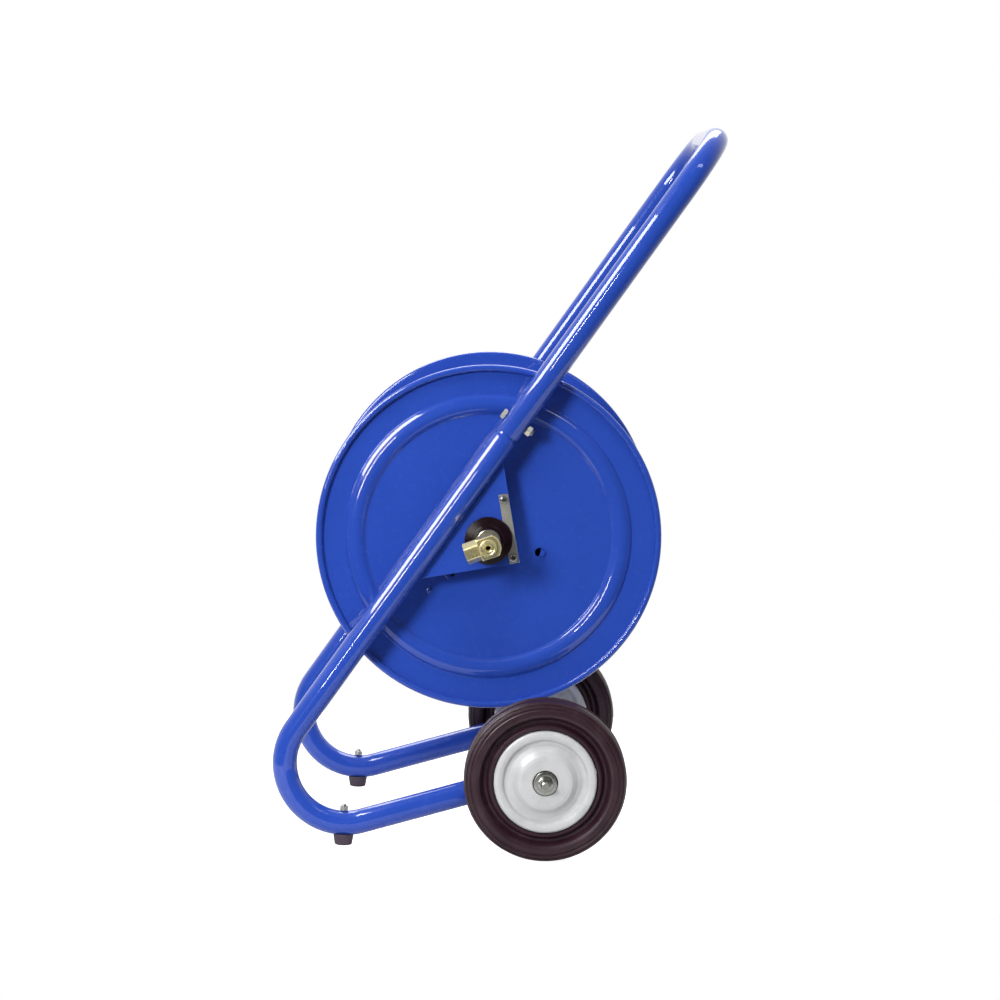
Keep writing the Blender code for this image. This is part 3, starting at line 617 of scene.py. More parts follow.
def build_side_tube(name, side):
    """Bottom leg, bend and raked leg in one bent tube, necked down where the handle slips over it."""
    offset = OUT * (side * TUBE_Y)
    half_turn = (math.pi - (INCLINE - LEG_SLOPE)) / 2
    corner = RAKE_START - ALONG * (BEND_R * math.tan(half_turn))
    start = LEG_END + offset
    neck = SWAGE_START - 0.004
    path = filleted_path([start, corner + offset, rake(neck, side)], BEND_R, 56)
    inner = TUBE_R - TUBE_WALL
    swage_r = inner - GAP
    path.insert(1, (start - LEG * 0.0006, -LEG))
    path[0] = (start, -LEG)
    radii = [(TUBE_R - 0.0006, inner + 0.0005)] + [(TUBE_R, inner)] * (len(path) - 1)
    shoulder = 8
    for index in range(1, shoulder + 1):
        blend = 0.5 - 0.5 * math.cos(math.pi * index / shoulder)
        path.append((rake(neck + 0.006 * index / shoulder, side), ALONG))
        outer = TUBE_R + (swage_r - TUBE_R) * blend
        radii.append((outer, outer - TUBE_WALL))
    end = HANDLE_START + SWAGE_LENGTH
    path += [(rake(end - 0.0008, side), ALONG), (rake(end, side), ALONG)]
    radii += [(swage_r, swage_r - TUBE_WALL), (swage_r - 0.0005, swage_r - TUBE_WALL + 0.0004)]
    piece("frame_tube_" + name, swept(path, OUT, radii), BLUE, "frame", sharp=50)


def build_handle():
    """U-shaped push handle."""
    corners = [rake(HANDLE_START, -1), rake(HANDLE_TOP, -1), rake(HANDLE_TOP, 1), rake(HANDLE_START, 1)]
    path = filleted_path(corners, BEND_R, 40)
    inner = TUBE_R - TUBE_WALL
    lip = 0.0007
    for index, way in ((0, ALONG), (-1, -ALONG)):
        end, direction = path[index]
        steps = [(end, direction), (end + way * lip * 0.4, direction), (end + way * lip, direction)]
        path = steps + path[1:] if index == 0 else path[:-1] + steps[::-1]
    edge = [(TUBE_R - lip, inner + lip * 0.6), (TUBE_R - lip * 0.35, inner + lip * 0.1), (TUBE_R, inner)]
    radii = edge + [(TUBE_R, inner)] * (len(path) - 6) + edge[::-1]
    piece("handle_tube", swept(path, ACROSS, radii), BLUE, "frame", sharp=50)


def build_bolt(node, place, direction, head, shank_r, half_flats):
    """Hex bolt on the frame, from its (head top, head seat, tip) heights along direction."""
    top, seat, tip = head
    way = 1 if top > seat else -1
    rows = hex_rows(min(top, seat), max(top, seat), half_flats)
    rows = rows[::-way] + [(seat, shank_r)]
    low, high = sorted((tip + way * 0.0008, tip + way * 0.010))
    threads = thread_rows(low, high, shank_r, 0.00125, 0.00045)
    rows += threads[::-way] + [(tip, shank_r - 0.0008)]
    piece(node, turned(rows, 48), ZINC, "frame", place, facing(direction, OUT), sharp=28)


def build_nut(node, place, direction, half_flats, hole_r, height, body="frame"):
    """Hex nut that stands on place and points along direction."""
    rows = [(0.0006, hole_r), (0, hole_r + 0.0006)] + hex_rows(0, height, half_flats)
    rows += [(height, hole_r + 0.0006), (height - 0.0006, hole_r)]
    piece(node, turned(rows, 48, True), ZINC, body, place, facing(direction, OUT), sharp=28)


def build_handle_bolts(name, side):
    """Hex bolt and nut that pin the handle to a side tube."""
    reach = TUBE_R + GAP
    centre = rake(HANDLE_BOLT_AT, side)
    heights = (reach + 0.0055, reach, -reach - 0.0095)
    build_bolt("handle_bolt_" + name, centre, ACROSS, heights, 0.0040, 0.0063)
    build_nut("handle_nut_" + name, centre - ACROSS * reach, -ACROSS, 0.0063, 0.0043, 0.0065)


# --- Bearing brackets ---
def build_bracket(name, side):
    """Triangular plate beside the raked tube, slotted for the bearing, with the strip's screw holes."""
    reach = REEL_BELOW - TUBE_R - GAP
    spread = PLATE_CORNER + reach
    outline = rounded([(0, -PLATE_CORNER, 0.002), (spread, reach, 0.001), (-spread, reach, 0.001)], 0.001)
    frame_turn = axes(ALONG, ACROSS, -OUT)
    place = REEL + OUT * (side * PLATE_Y)
    plate = extruded(outline, -PLATE_HALF, PLATE_HALF)
    made = to_mesh("fine_bearing_bracket_" + name, plate, place, frame_turn)
    slot_r = BEARING_R + GAP
    lip = slot_r * math.sqrt(0.5)
    beyond = 0.040
    slot = arc(0, 0, slot_r, 45, 225, 32) + [(beyond - lip, -beyond - lip), (beyond + lip, lip - beyond)]
    carve(made, extruded(slot, -0.01, 0.01), place, frame_turn)
    for distance in SCREWS_ALONG:
        drill(made, SCREW_HOLE_R, strip_point(distance, SCREW_INSET, side, PLATE_Y), OUT)
    finish_piece(made, BLUE, "frame", "bearing_bracket_" + name, bevel=0.0005)


def strip_point(distance, inset, side, out):
    """Point beside the bracket's slotted edge, measured from its corner and in from the edge."""
    corner = REEL - ACROSS * PLATE_CORNER
    return corner + EDGE * distance + INWARD * inset + OUT * (side * out)


def build_strip(name, side):
    """Zinc strip across the mouth of the bracket's slot, and its two pan head screws."""
    middle = PLATE_Y + PLATE_HALF + GAP + STRIP_HALF
    outline = rounded([(0.0006, 0.0006), (0.0906, 0.0006), (0.0906, 0.0131), (0.0006, 0.0131)], 0.0009)
    turn = axes(EDGE, INWARD, EDGE.cross(INWARD))
    place = strip_point(0, 0, side, middle)
    plate = extruded(outline, -STRIP_HALF, STRIP_HALF)
    strip = to_mesh("fine_bearing_strip_" + name, plate, place, turn)
    head = STRIP_HALF + GAP
    dome = [(head + 0.0034 * math.cos(a), 0.0052 * math.sin(a) ** 0.6)
            for a in [math.radians(angle) for angle in range(88, 20, -8)]]
    for label, distance in zip(("lower", "upper"), SCREWS_ALONG):
        centre = strip_point(distance, SCREW_INSET, side, middle)
        drill(strip, SCREW_HOLE_R, centre, OUT)
        rows = [(-0.0085, 0.0021), (-0.0080, 0.0025)]
        rows += thread_rows(-0.0078, -0.0030, 0.0025, 0.0008, 0.0003)
        rows += [(head, 0.0025), (head, 0.0051)] + dome
        made = to_mesh("fine_strip_screw_%s_%s" % (name, label), turned(rows, 40), centre, outward(side))
        for turn_by in (0.5, 0.5 + math.pi / 2):
            spin = outward(side) @ Matrix.Rotation(turn_by, 4, "Z")
            bar = [(-0.0018, -0.0005), (0.0018, -0.0005), (0.0018, 0.0005), (-0.0018, 0.0005)]
            carve(made, extruded(bar, head + 0.0006, head + 0.0060), centre, spin)
        finish_piece(made, ZINC, "frame", "strip_screw_%s_%s" % (name, label), sharp=28)
    finish_piece(strip, STRIP_ZINC, "frame", "bearing_strip_" + name, bevel=0.0004)


def build_bearing(name, side):
    """Nylon flange bearing with a stepped, softly rounded face."""
    bore = SHAFT_R + 0.00045
    inner = PLATE_Y - PLATE_HALF - GAP
    outer = PLATE_Y + PLATE_HALF + 2 * GAP + 2 * STRIP_HALF
    outline = [(inner - 0.0040, bore, 0.0005), (inner - 0.0040, 0.0260, 0.0008), (inner, 0.0260, 0.0002),
               (inner, BEARING_R, 0.0002), (outer, BEARING_R, 0.0002), (outer, FLANGE_R, 0.0004),
               (outer + 0.0030, FLANGE_R, 0.0014), (outer + 0.0042, 0.0205, 0.0008),
               (outer + 0.0062, 0.0195, 0.0008), (outer + 0.0065, bore, 0.0006)]
    piece("shaft_bearing_" + name, ring(outline, 0.0005, 5, 96), NYLON, "frame", REEL, outward(side))


# --- Axle, wheels and feet ---
def build_axle():
    """Wheel axle with threaded ends, and the blue spacer tube between the side tubes."""
    out = size_of("wheel_axle").y / 2
    rows = [(-out, 0.0042)] + thread_rows(-out + 0.0008, -0.2460, 0.0050, 0.0015, 0.0006)
    rows += [(-0.2440, 0.0050), (-0.2440, AXLE_R - 0.0004), (-0.2436, AXLE_R)]
    rows += [(-height, radius) for height, radius in reversed(rows) if not callable(radius)]
    threads = thread_rows(0.2460, out - 0.0008, 0.0050, 0.0015, 0.0006)
    rows = rows[:-1] + threads + rows[-1:]
    piece("wheel_axle", turned(rows, 48), ZINC, "frame", AXLE, outward(1.0), sharp=28)
    half = TUBE_Y - TUBE_R - GAP
    spacer = sleeve(-half, half, AXLE_R + GAP, SPACER_R, 0.0005, 3, 48)
    piece("axle_spacer_tube", spacer, BLUE, "frame", AXLE, outward(1.0))


def build_axle_end(name, side):
    """Bush, washer and nut on one end of the axle."""
    turn = outward(side)
    bush = sleeve(TUBE_Y + TUBE_R + GAP, 0.1921, AXLE_R + GAP, SPACER_R, 0.0004, 3, 48)
    piece("axle_bush_" + name, bush, ZINC, "frame", AXLE, turn)
    bore = 0.0050 + GAP
    outline = [(0.2443, bore), (0.2443, 0.0150), (0.2459, 0.0150), (0.2463, 0.0118), (0.2463, bore)]
    piece("axle_washer_" + name, ring(outline, 0.0005, 4, 64), ZINC, "frame", AXLE, turn)
    rows = [(0.0006, bore), (0, bore + 0.0006), (0, 0.0092), (0.0012, 0.0096), (0.0020, 0.0082)]
    rows += hex_rows(0.0021, 0.0090, 0.0072, chamfer_low=False)
    rows += [(0.0090, bore + 0.0006), (0.0084, bore)]
    piece("axle_nut_" + name, turned(rows, 60, True), ZINC, "frame", AXLE + OUT * (side * 0.2466), turn,
          sharp=28)


def build_tyre(name, side):
    """Semi-pneumatic tyre: dished side walls with a raised lip, and grooves around the tread."""
    half = [(0.0100, 0.0655, 0.0004), (0.0150, 0.0664, 0.0015), (0.0158, 0.0700, 0.0020),
            (0.0140, 0.0725, 0.0020), (0.0085, 0.0742, 0.0030), (0.0085, 0.0790, 0.0040),
            (0.0170, 0.0818, 0.0040), (0.0208, 0.0838, 0.0030), (0.0220, 0.0868, 0.0025),
            (0.0217, 0.0925, 0.0010), (0.0203, 0.0936, 0.0006), (0.0203, 0.0948, 0.0004),
            (0.0213, 0.0956, 0.0004), (0.0206, 0.0980, 0.0010), (0.0189, 0.0987, 0.0004),
            (0.0185, 0.0995, 0.0004), (0.0194, 0.1001, 0.0004), (0.0176, 0.1016, 0.0008),
            (0.0160, 0.1024, 0.0004), (0.0150, 0.1020, 0.0003), (0.0140, WHEEL_R - 0.0006, 0.0008)]
    grooves = []
    for edge in (0.0100, 0.0050, 0.0):
        grooves += [(edge + 0.0014, WHEEL_R, 0.0004), (edge + 0.0008, WHEEL_R - 0.0012, 0.0003),
                    (edge + 0.0002, WHEEL_R - 0.0012, 0.0003)]
    half += grooves[:-1] + [(0.0, WHEEL_R - 0.0012, 0.0)]
    outline = half + [(-point[0], point[1], point[2]) for point in reversed(half[:-1])]
    centre = AXLE + OUT * (side * WHEEL_Y)
    piece("tyre_" + name, ring(outline, 0.0005, 4, 160), TYRE, name + "_wheel", centre, outward(side),
          sharp=40)


def build_hubs(name, side):
    """Two pressed hub halves, and the nylon sleeve that turns on the axle with them."""
    centre = AXLE + OUT * (side * WHEEL_Y)
    cup = [(0.0003, 0.0652, 0.0003), (0.0184, 0.0652, 0.0012), (0.0206, 0.0632, 0.0030),
           (0.0212, 0.0590, 0.0060), (0.0198, 0.0545, 0.0040), (0.0146, 0.0520, 0.0030),
           (0.0144, 0.0470, 0.0040), (0.0176, 0.0410, 0.0040), (0.0250, 0.0345, 0.0060),
           (0.0262, 0.0300, 0.0040), (0.0262, 0.0175, 0.0008), (0.0256, 0.0162, 0.0004),
           (0.0242, 0.0162, 0.0004), (0.0242, 0.0325, 0.0030), (0.0150, 0.0400, 0.0030),
           (0.0124, 0.0525, 0.0020), (0.0180, 0.0590, 0.0030), (0.0165, 0.0632, 0.0020),
           (0.0003, 0.0632, 0.0003)]
    for label, flip in (("outer", 1.0), ("inner", -1.0)):
        piece("hub_%s_%s" % (label, name), ring(cup, 0.0005, 6, 144), WHITE, name + "_wheel", centre,
              outward(side * flip), sharp=45)
    bush = sleeve(-0.0260, 0.0250, AXLE_R + 0.00035, 0.0158, 0.0006, 4, 64)
    piece("wheel_sleeve_" + name, bush, NYLON, name + "_wheel", centre, outward(side))


def build_foot(name, side):
    """Rubber bumper under the bend, its bolt and the nut on top of the tube."""
    place = Vector((BEND_CENTRE.x, MIDDLE + side * TUBE_Y, 0))
    top = FOOT_HEIGHT + 0.0028
    outline = [(0, 0.0062, 0.0003), (0, 0.0110, 0.0014), (top, 0.0135, 0.0004), (top, 0.0033, 0.0),
               (0.0058, 0.0033, 0.0), (0.0058, 0.0062, 0.0003)]
    foot = to_mesh("fine_foot_" + name, ring(outline, 0.0004, 5, 56), place)
    drill(foot, TUBE_R + GAP, place + UP * (FOOT_HEIGHT + TUBE_R), Vector((1, 0, 0)), 0.03, 72)
    finish_piece(foot, FOOT_RUBBER, "frame", "foot_" + name)
    tube_top = FOOT_HEIGHT + 2 * TUBE_R
    build_bolt("foot_bolt_" + name, place, UP, (0.0015, 0.0055, tube_top + 0.0088), 0.0030, 0.0052)
    build_nut("foot_nut_" + name, place + UP * (tube_top + 0.0010), UP, 0.0050, 0.0033, 0.0052)


def build_plug(name, side):
    """Plastic plug in the open end of a bottom leg."""
    inner = TUBE_R - TUBE_WALL - GAP
    rows = [(-0.0120, inner - 0.0012), (-0.0116, inner - 0.0006), (GAP, inner), (GAP, TUBE_R - 0.0002)]
    rows += quarter(0.0010, 0.0022, TUBE_R - 0.0030, 0.0030, range(0, 91, 15))
    piece("tube_plug_" + name, turned(rows, 56), NYLON, "frame", LEG_END + OUT * (side * TUBE_Y),
          facing(LEG, OUT))


# --- Reel ---
def build_disc(name, side):
    """Pressed disc: flat web, smooth annular bead and a rolled rim that stands proud outboard."""
    face = DISC_WEB_Y + SHEET
    bore = SHAFT_R + 0.0005
    bead_rows = [(0.0, 0.1545, 0.0), (0.0, 0.1584, 0.0035)]
    bead_rows += [(rise, radius, 0.0) for radius, rise in arc(0.1715, -0.0103, 0.0166, 136, 44, 18)]
    bead_rows += [(0.0, 0.1846, 0.0035), (0.0, 0.1885, 0.0)]
    bead = rounded(bead_rows, 0.0, 6, False)
    curl_r = 0.0042
    curl = arc(face + curl_r, DISC_R - curl_r, curl_r, -118, 172, 28)
    rows = [(face, bore), (face, 0.080)] + [(face + rise, radius) for rise, radius in bead]
    rows += [(face, DISC_R - 2 * curl_r - 0.0010), (face + 0.0004, DISC_R - 2 * curl_r + 0.0008)] + curl
    rows += [(DISC_WEB_Y + 0.0004, DISC_R - curl_r + 0.0004), (DISC_WEB_Y, DISC_R - curl_r - 0.0020)]
    rows += [(DISC_WEB_Y + rise, radius) for rise, radius in reversed(bead)]
    rows += [(DISC_WEB_Y, 0.080), (DISC_WEB_Y, bore)]
    made = to_mesh("fine_reel_disc_" + name, turned(rows, 240, True), REEL, outward(side))
    for angle in TAB_ANGLES:
        drill(made, 0.0060, polar(TAB_RADIUS, angle, side * face), OUT, segments=40)
    if side < 0:
        drill(made, RIVET_HOLE_R, RIVET - OUT * face, OUT)
    finish_piece(made, BLUE, "reel", "reel_disc_" + name, sharp=40)


def polar(radius, angle, out):
    """Point on the reel at a radius and an angle in the side view, and a distance along Y."""
    return REEL + Vector((radius * math.cos(angle), out, radius * math.sin(angle)))


def build_drum():
    """Plain drum with a hole for the riser, and three folded tabs at each end."""
    half = DISC_WEB_Y - 0.0005
    inner = DRUM_R - 0.0020
    drum = sleeve(-half, half, inner, DRUM_R, 0.0003, 2, 180)
    made = to_mesh("fine_reel_drum", drum, REEL, outward(-1.0))
    drill(made, 0.0125, REEL - OUT * RISER_Y + RADIAL * DRUM_R, RADIAL, 0.02, 48)
    width = 0.00375
    fold_r = 0.0016
    for side in (-1.0, 1.0):
        for angle in TAB_ANGLES:
            stem = half + 0.0042
            outline = [(inner, half - 0.0010), (inner, stem - fold_r * 0.2)]
            fold = quarter(stem - fold_r * 0.2, fold_r, inner + fold_r, -fold_r, range(15, 91, 15))
            outline += [(radius, height) for height, radius in fold]
            tip = DRUM_R + 0.0040
            outline += [(tip - 0.0008, stem + fold_r * 0.8), (tip, stem + fold_r * 0.8 - 0.0006)]
            outline += [(tip - 0.0002, stem - 0.0002), (DRUM_R + 0.0008, stem - 0.0004)]
            outline += [(DRUM_R, stem - 0.0012), (DRUM_R, half - 0.0010)]
            way = way_at(angle)
            across = way.cross(OUT * side)
            turn = axes(way, OUT * side, across)
            carve(made, extruded(outline, -width, width), REEL, turn, "UNION")
    finish_piece(made, BLUE, "reel", "reel_drum", bevel=0.0002, sharp=40)


def build_shaft():
    """Reel shaft with chamfered ends and its waterway."""
    rows = [(-0.2140, 0.0140), (-0.2130, SHAFT_R), (0.1812, SHAFT_R), (0.1820, SHAFT_R - 0.0008),
            (0.1820, 0.0110), (0.1816, 0.0106), (0.0900, 0.0106)]
    made = to_mesh("fine_reel_shaft", turned(rows, 72), REEL, outward(-1.0))
    carve(made, turned([(0.003, 0.0070), (0.020, 0.0070)], 32), REEL - OUT * RISER_Y, facing(RADIAL))
    finish_piece(made, ZINC, "reel", "reel_shaft")


def build_riser():
    """Bent pipe out of the drum, its threaded brass outlet, its strap and the strap's rivet."""
    base = REEL - OUT * RISER_Y
    corner = base + RADIAL * RISER_RUN
    end = corner + TANGENTIAL * RISER_LENGTH
    path = filleted_path([base + RADIAL * (SHAFT_R + GAP), corner, end], 0.022, 24)
    normal = RADIAL.cross(TANGENTIAL).normalized()
    radii = [(RISER_R, RISER_R - 0.0025)] * len(path)
    piece("riser_pipe", swept(path, normal, radii, 40), ZINC, "reel", sharp=50)
    rows = [(0.0005, 0.0085), (0, 0.0090)] + hex_rows(0, 0.0080, 0.0135)
    rows += [(0.0080, 0.0118)] + thread_rows(0.0086, 0.0230, 0.0125, 0.0022, 0.0011)
    rows += [(0.0240, 0.0112), (0.0240, 0.0090), (0.0235, 0.0085)]
    piece("hose_outlet", turned(rows, 72, True), BRASS, "reel", end + TANGENTIAL * GAP,
          facing(TANGENTIAL, normal), sharp=28)
    centre = corner + TANGENTIAL * CLAMP_AT
    turn = axes(RADIAL, -OUT, RADIAL.cross(-OUT))
    half = 0.0055
    strap = 0.0015
    bore = RISER_R + GAP
    band = sleeve(-half, half, bore, bore + strap, 0.0004, 2, 56)
    clamp = to_mesh("fine_riser_clamp", band, centre, turn)
    foot = DISC_WEB_Y - RISER_Y - GAP
    ear = RIVET_RUN - RISER_RUN + half
    outline = [(half, 0.0100, 0.0), (half + strap, 0.0100, 0.0), (half + strap, foot - strap, 0.001),
               (ear, foot - strap, 0.0004), (ear, foot, 0.0004), (half, foot, 0.002)]
    carve(clamp, extruded(rounded(outline, 0.001, 4), -half, half), centre, turn, "UNION")
    drill(clamp, RIVET_HOLE_R, RIVET - OUT * DISC_WEB_Y, OUT, 0.004)
    finish_piece(clamp, ZINC, "reel", "riser_clamp", bevel=0.0003)
    inside = -(SHEET + strap + 2 * GAP)
    rows = [(inside - 0.0014, 0.0024), (inside - 0.0008, 0.0031), (inside, 0.0034), (inside, 0.0020),
            (GAP, 0.0020), (GAP, 0.0036)]
    rows += quarter(GAP, 0.0023, 0.0, 0.0037, range(10, 85, 12))
    web = RIVET - OUT * (DISC_WEB_Y + SHEET)
    piece("clamp_rivet", turned(rows, 40), BLUE, "reel", web, outward(-1.0))


# --- Crank ---
def build_crank():
    """Crank bar with rounded end on its collar, set bolt, knob, shoulder bolt and nut."""
    turn = outward(1.0, ARM)
    bar = 0.0029
    bore = SHAFT_R + 0.0005
    collar = sleeve(0.1840, CRANK_Y + bar, bore, 0.0225, 0.0008, 3, 72)
    crank = to_mesh("fine_crank_arm", collar, REEL, turn)
    outline = [(0.0185, -0.0125), (CRANK_R, -0.0125)] + arc(CRANK_R, 0, 0.0125, -84, 84, 24)
    outline += [(CRANK_R, 0.0125), (0.0185, 0.0125)]
    carve(crank, extruded(outline, CRANK_Y - bar, CRANK_Y + bar), REEL, turn, "UNION")
    drill(crank, 0.0053, KNOB, OUT, segments=32)
    set_centre = REEL + OUT * 0.1935 + ARM_SIDE * 0.0205
    drill(crank, 0.0043, set_centre, ARM_SIDE, 0.006, 32)
    finish_piece(crank, BLUE, "reel", "crank_arm", bevel=0.0005)
    rows = [(-0.0048, 0.0032), (-0.0040, 0.0040), (0.0030, 0.0040)] + hex_rows(0.0030, 0.0080, 0.0063)
    piece("crank_set_bolt", turned(rows, 48), ZINC, "reel", set_centre, facing(ARM_SIDE, OUT), sharp=28)
    knob_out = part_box("crank_knob")[1].y - KNOB.y
    seat = knob_out - 0.0090
    rows = [(-0.0125, 0.0042)] + thread_rows(-0.0117, -0.0040, 0.0050, 0.0015, 0.0006)
    rows += [(-0.0030, 0.0050), (seat + 2 * GAP, 0.0050), (seat + 2 * GAP, 0.0076)]
    rows += [(knob_out - 0.0036, 0.0080), (knob_out - 0.0030, 0.0072)]
    piece("knob_bolt", turned(rows, 48), ZINC, "reel", KNOB, outward(1.0), sharp=28)
    build_nut("knob_nut", KNOB - OUT * (bar + GAP), -OUT, 0.0080, 0.0053, 0.0075, "reel")
    foot = bar + 0.0016
    bore = 0.0054
    outline = [(foot, bore, 0.0003), (foot, 0.0112, 0.0010), (foot + 0.0030, 0.0118, 0.0010),
               (foot + 0.0060, 0.0112, 0.0020), (foot + 0.0120, 0.0138, 0.0060)]
    for index in range(5):
        ridge = 0.30 * knob_out + index * 0.085 * knob_out
        outline += [(ridge, 0.0150, 0.0008), (ridge + 0.0012, 0.0142, 0.0008),
                    (ridge + 0.0024, 0.0151, 0.0008)]
    outline += [(0.80 * knob_out, 0.0158, 0.0060), (knob_out - 0.0050, 0.0146, 0.0050),
                (knob_out, 0.0105, 0.0020), (knob_out, 0.0088, 0.0006), (seat, 0.0088, 0.0003),
                (seat, bore, 0.0003)]
    piece("crank_knob", ring(outline, 0.0005, 5, 72), NYLON, "knob", KNOB, outward(1.0), sharp=40)


# --- Swivel inlet ---
def build_nipple():
    """Brass nipple in the shaft's end, and the seal around it."""
    bore = 0.0062
    rows = [(0.1620, bore), (0.1620, 0.0098)] + thread_rows(0.1625, 0.1812, 0.0102, 0.0018, 0.0005)
    rows += [(0.1824, 0.0102)] + hex_rows(0.1824, 0.1905, 0.0120)
    rows += [(0.1905, 0.0085), (0.2184, 0.0085), (0.2190, 0.0079), (0.2190, bore)]
    piece("swivel_nipple", turned(rows, 72, True), BRASS, "reel", REEL, outward(-1.0), sharp=28)
    seal = sleeve(0.1932, 0.1976, 0.0089, 0.0114, 0.0008, 4, 48)
    piece("swivel_seal", seal, NYLON, "swivel", REEL, outward(-1.0))


def build_elbow():
    """Cast and machined elbow: chamfered block, hexagonal port with a thread, and a recessed plug."""
    turn = outward(-1.0, PORT)
    face = 0.2455
    outline = [(0.0120, -0.0138), (0.0120, 0.0138), (-0.0105, 0.0138), (-0.0155, 0.0068),
               (-0.0162, 0.0), (-0.0155, -0.0068), (-0.0105, -0.0138)]
    block = extruded(rounded(outline, 0.0016, 4), 0.2120, face, 0.0014, (-0.0005, 0.0))
    elbow = to_mesh("fine_swivel_elbow", block, REEL, turn)
    rows = [(0.1925, 0.0132), (0.1933, 0.0140), (0.2125, 0.0140)]
    carve(elbow, turned(rows, 64), REEL, turn, "UNION")
    middle = REEL - OUT * PORT_Y
    port_turn = facing(PORT, PORT.cross(OUT))
    corner = 1.11
    boss = [(0.0090, hexagon(0.0120, corner))]
    boss += hex_rows(0.0100, PORT_FACE, 0.0125, chamfer_low=False, corner=corner)
    carve(elbow, turned(boss, 120), middle, port_turn, "UNION")
    bores = ((0.1900, 0.2370, 0.0092), (0.1900, 0.1980, 0.0118), (0.2350, 0.2500, 0.0075))
    for start, end, radius in bores:
        carve(elbow, turned([(start, radius), (end, radius)], 48), REEL, turn)
    socket = [(0.0005, 0.0086), (0.0175, 0.0086)]
    socket += thread_rows(0.0180, PORT_FACE - 0.0008, 0.0102, 0.0018, 0.0012)
    socket += [(PORT_FACE - 0.0004, 0.0096), (PORT_FACE + 0.0020, 0.0108)]
    carve(elbow, turned(socket, 48), middle, port_turn)
    finish_piece(elbow, BRASS, "swivel", "swivel_elbow", bevel=0.0004, sharp=30)
    start = face + GAP
    outline = [(0.2400, 0.0026, 0.0), (0.2400, 0.0071, 0.0003), (start, 0.0071, 0.0),
               (start, 0.0109, 0.0004), (0.2480, 0.0109, 0.0010), (0.2500, 0.0096, 0.0006),
               (0.2500, 0.0084, 0.0004), (0.2488, 0.0074, 0.0004), (0.2494, 0.0050, 0.0006),
               (0.2470, 0.0030, 0.0004)]
    piece("swivel_plug", ring(outline, 0.0004, 4, 64), BRASS, "swivel", REEL, turn)


# --- Studio ---
def build_camera():
    """Long lens at the handle's height, pitched down towards the reel."""
    place = REEL + Vector((0.0058, -3.6, 0.4466))
    pitch, yaw, roll = math.radians(6.557), math.radians(0.120), math.radians(1.943)
    ahead = Vector((math.sin(yaw) * math.cos(pitch), math.cos(yaw) * math.cos(pitch), -math.sin(pitch)))
    level = Vector((math.cos(yaw), -math.sin(yaw), 0))
    above = level.cross(ahead)
    right = level * math.cos(roll) + above * math.sin(roll)
    top = above * math.cos(roll) - level * math.sin(roll)
    lens = bpy.data.cameras.new("camera")
    lens.lens = 97.64
    lens.sensor_width = 36.0
    camera = add_object("camera", lens)
    camera.matrix_world = Matrix.Translation(place) @ axes(right, top, -ahead)
    bpy.context.scene.camera = camera


def area_light(name, place, target, width, height, power, up=UP):
    """A rectangular soft light that points at a target."""
    lamp = bpy.data.lights.new(name, "AREA")
    lamp.shape = "RECTANGLE"
    lamp.size = width
    lamp.size_y = height
    lamp.energy = power
    made = add_object(name, lamp)
    away = (Vector(place) - Vector(target)).normalized()
    x_axis = up.cross(away).normalized()
    made.matrix_world = Matrix.Translation(place) @ axes(x_axis, away.cross(x_axis), away)
    made.visible_camera = False
    return made


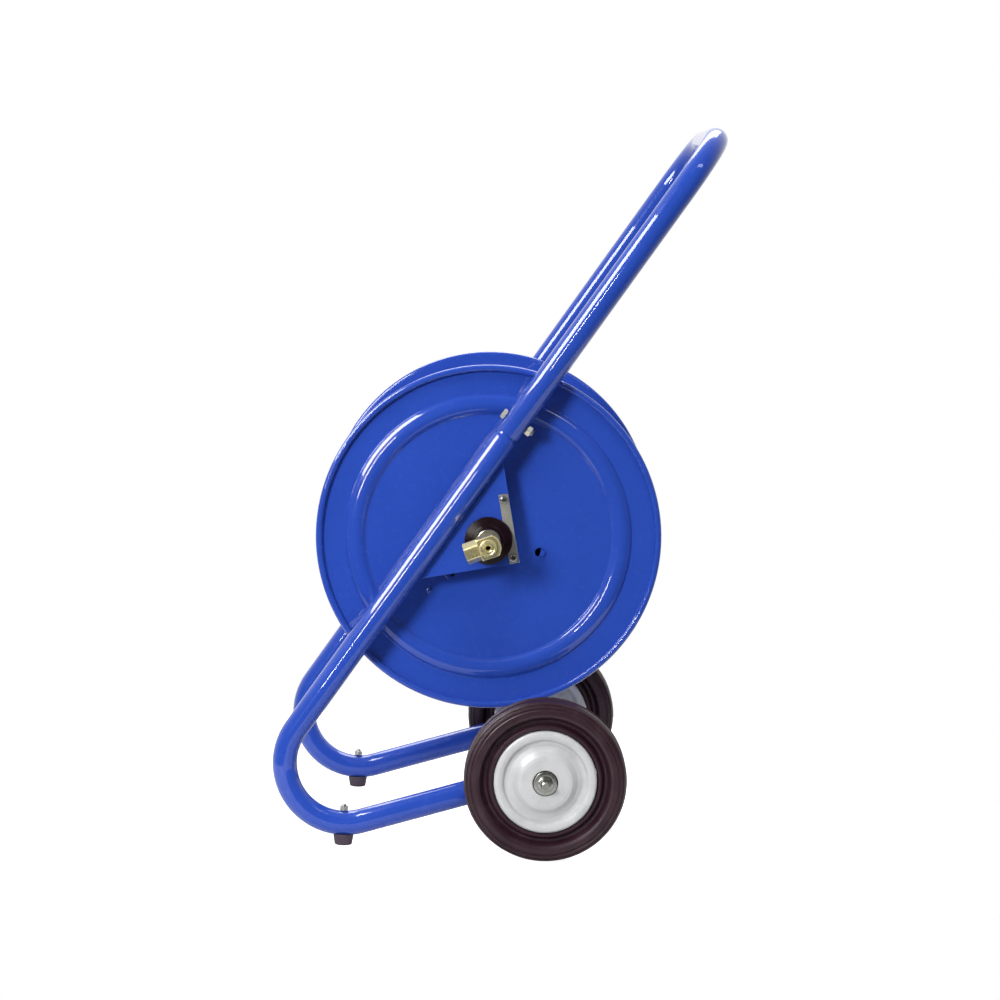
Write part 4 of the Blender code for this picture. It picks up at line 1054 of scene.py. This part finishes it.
def build_lights():
    """A soft key from the upper left, softboxes that draw the streaks, and soft fills."""
    rows = (("key", 146.0, 35.0, 2.20, 0.0, 0.45, 0.60, 45.0, True, False),
            ("streak", 146.0, 33.0, 2.00, -0.30, 0.07, 0.68, 85.0, False, True),
            ("softbox_left", 146.0, 71.0, 1.20, 0.06, 0.60, 0.75, 18.0, False, True),
            ("softbox_right", 62.0, 62.0, 1.50, 0.0, 0.12, 0.62, 6.0, False, True),
            ("softbox_top", 90.0, 62.0, 3.00, 0.0, 1.10, 1.40, 9.0, True, False))
    for name, clock, swing, distance, slide, width, length, shine, diffuse, glossy in rows:
        around, away = math.radians(clock), math.radians(swing)
        radial = way_at(around)
        way = radial * math.sin(away) - OUT * math.cos(away)
        target = REEL - OUT * 0.15 + OUT.cross(radial) * slide
        power = shine * math.pi * width * length
        lamp = area_light(name, target + way * distance, target, width, length, power, radial.cross(OUT))
        lamp.visible_diffuse = diffuse
        lamp.visible_glossy = glossy
    area_light("front_fill", Vector((0.8, -4.2, 1.2)), REEL, 3.0, 3.0, 20.0).visible_glossy = False
    area_light("back_fill", Vector((-0.6, 4.0, 1.9)), REEL, 3.0, 3.0, 60.0).visible_glossy = False
    area_light("top", REEL + Vector((0.0, 1.8, 2.4)), REEL, 2.6, 1.4, 65.0)


def build_world():
    """White to the camera. As a light it is dim on the inlet side and bright on the crank side."""
    world = bpy.data.worlds.new("studio")
    world.use_nodes = True
    white = (1.0, 1.0, 1.0, 1.0)
    backdrop = add_node(world, "ShaderNodeBackground", Color=white)
    shine = world.node_tree.nodes["Background"]
    shine.inputs["Color"].default_value = white
    place = add_node(world, "ShaderNodeTexCoord")
    split = add_node(world, "ShaderNodeSeparateXYZ")
    link(world, place.outputs["Generated"], split.inputs["Vector"])
    link(world, remap(world, split.outputs["Y"], 0.03, 1.0, -0.50, 0.50), shine.inputs["Strength"])
    ray = add_node(world, "ShaderNodeLightPath")
    mix = add_node(world, "ShaderNodeMixShader")
    link(world, ray.outputs["Is Camera Ray"], mix.inputs["Fac"])
    link(world, shine.outputs["Background"], mix.inputs[1])
    link(world, backdrop.outputs["Background"], mix.inputs[2])
    link(world, mix.outputs["Shader"], world.node_tree.nodes["World Output"].inputs["Surface"])
    bpy.context.scene.world = world


def build_floor():
    """Plain round floor that fades into the white background."""
    bm = bmesh.new()
    bmesh.ops.create_circle(bm, cap_ends=True, segments=96, radius=0.75)
    floor = to_mesh("floor", bm, Vector((0, 0, 0)))
    floor.data.materials.append(floor_paint())


def build_cart():
    """Every piece of the cart."""
    for name, side in SIDES:
        for build in (build_side_tube, build_handle_bolts, build_bracket, build_strip, build_bearing,
                      build_axle_end, build_tyre, build_hubs, build_foot, build_plug, build_disc):
            build(name, side)
    for build in (build_handle, build_axle, build_shaft, build_drum, build_riser, build_crank,
                  build_nipple, build_elbow):
        build()


build_camera()
build_world()
build_lights()
build_floor()
build_cart()
bpy.context.scene.view_settings.view_transform = "Standard"

bpy.context.view_layer.update()
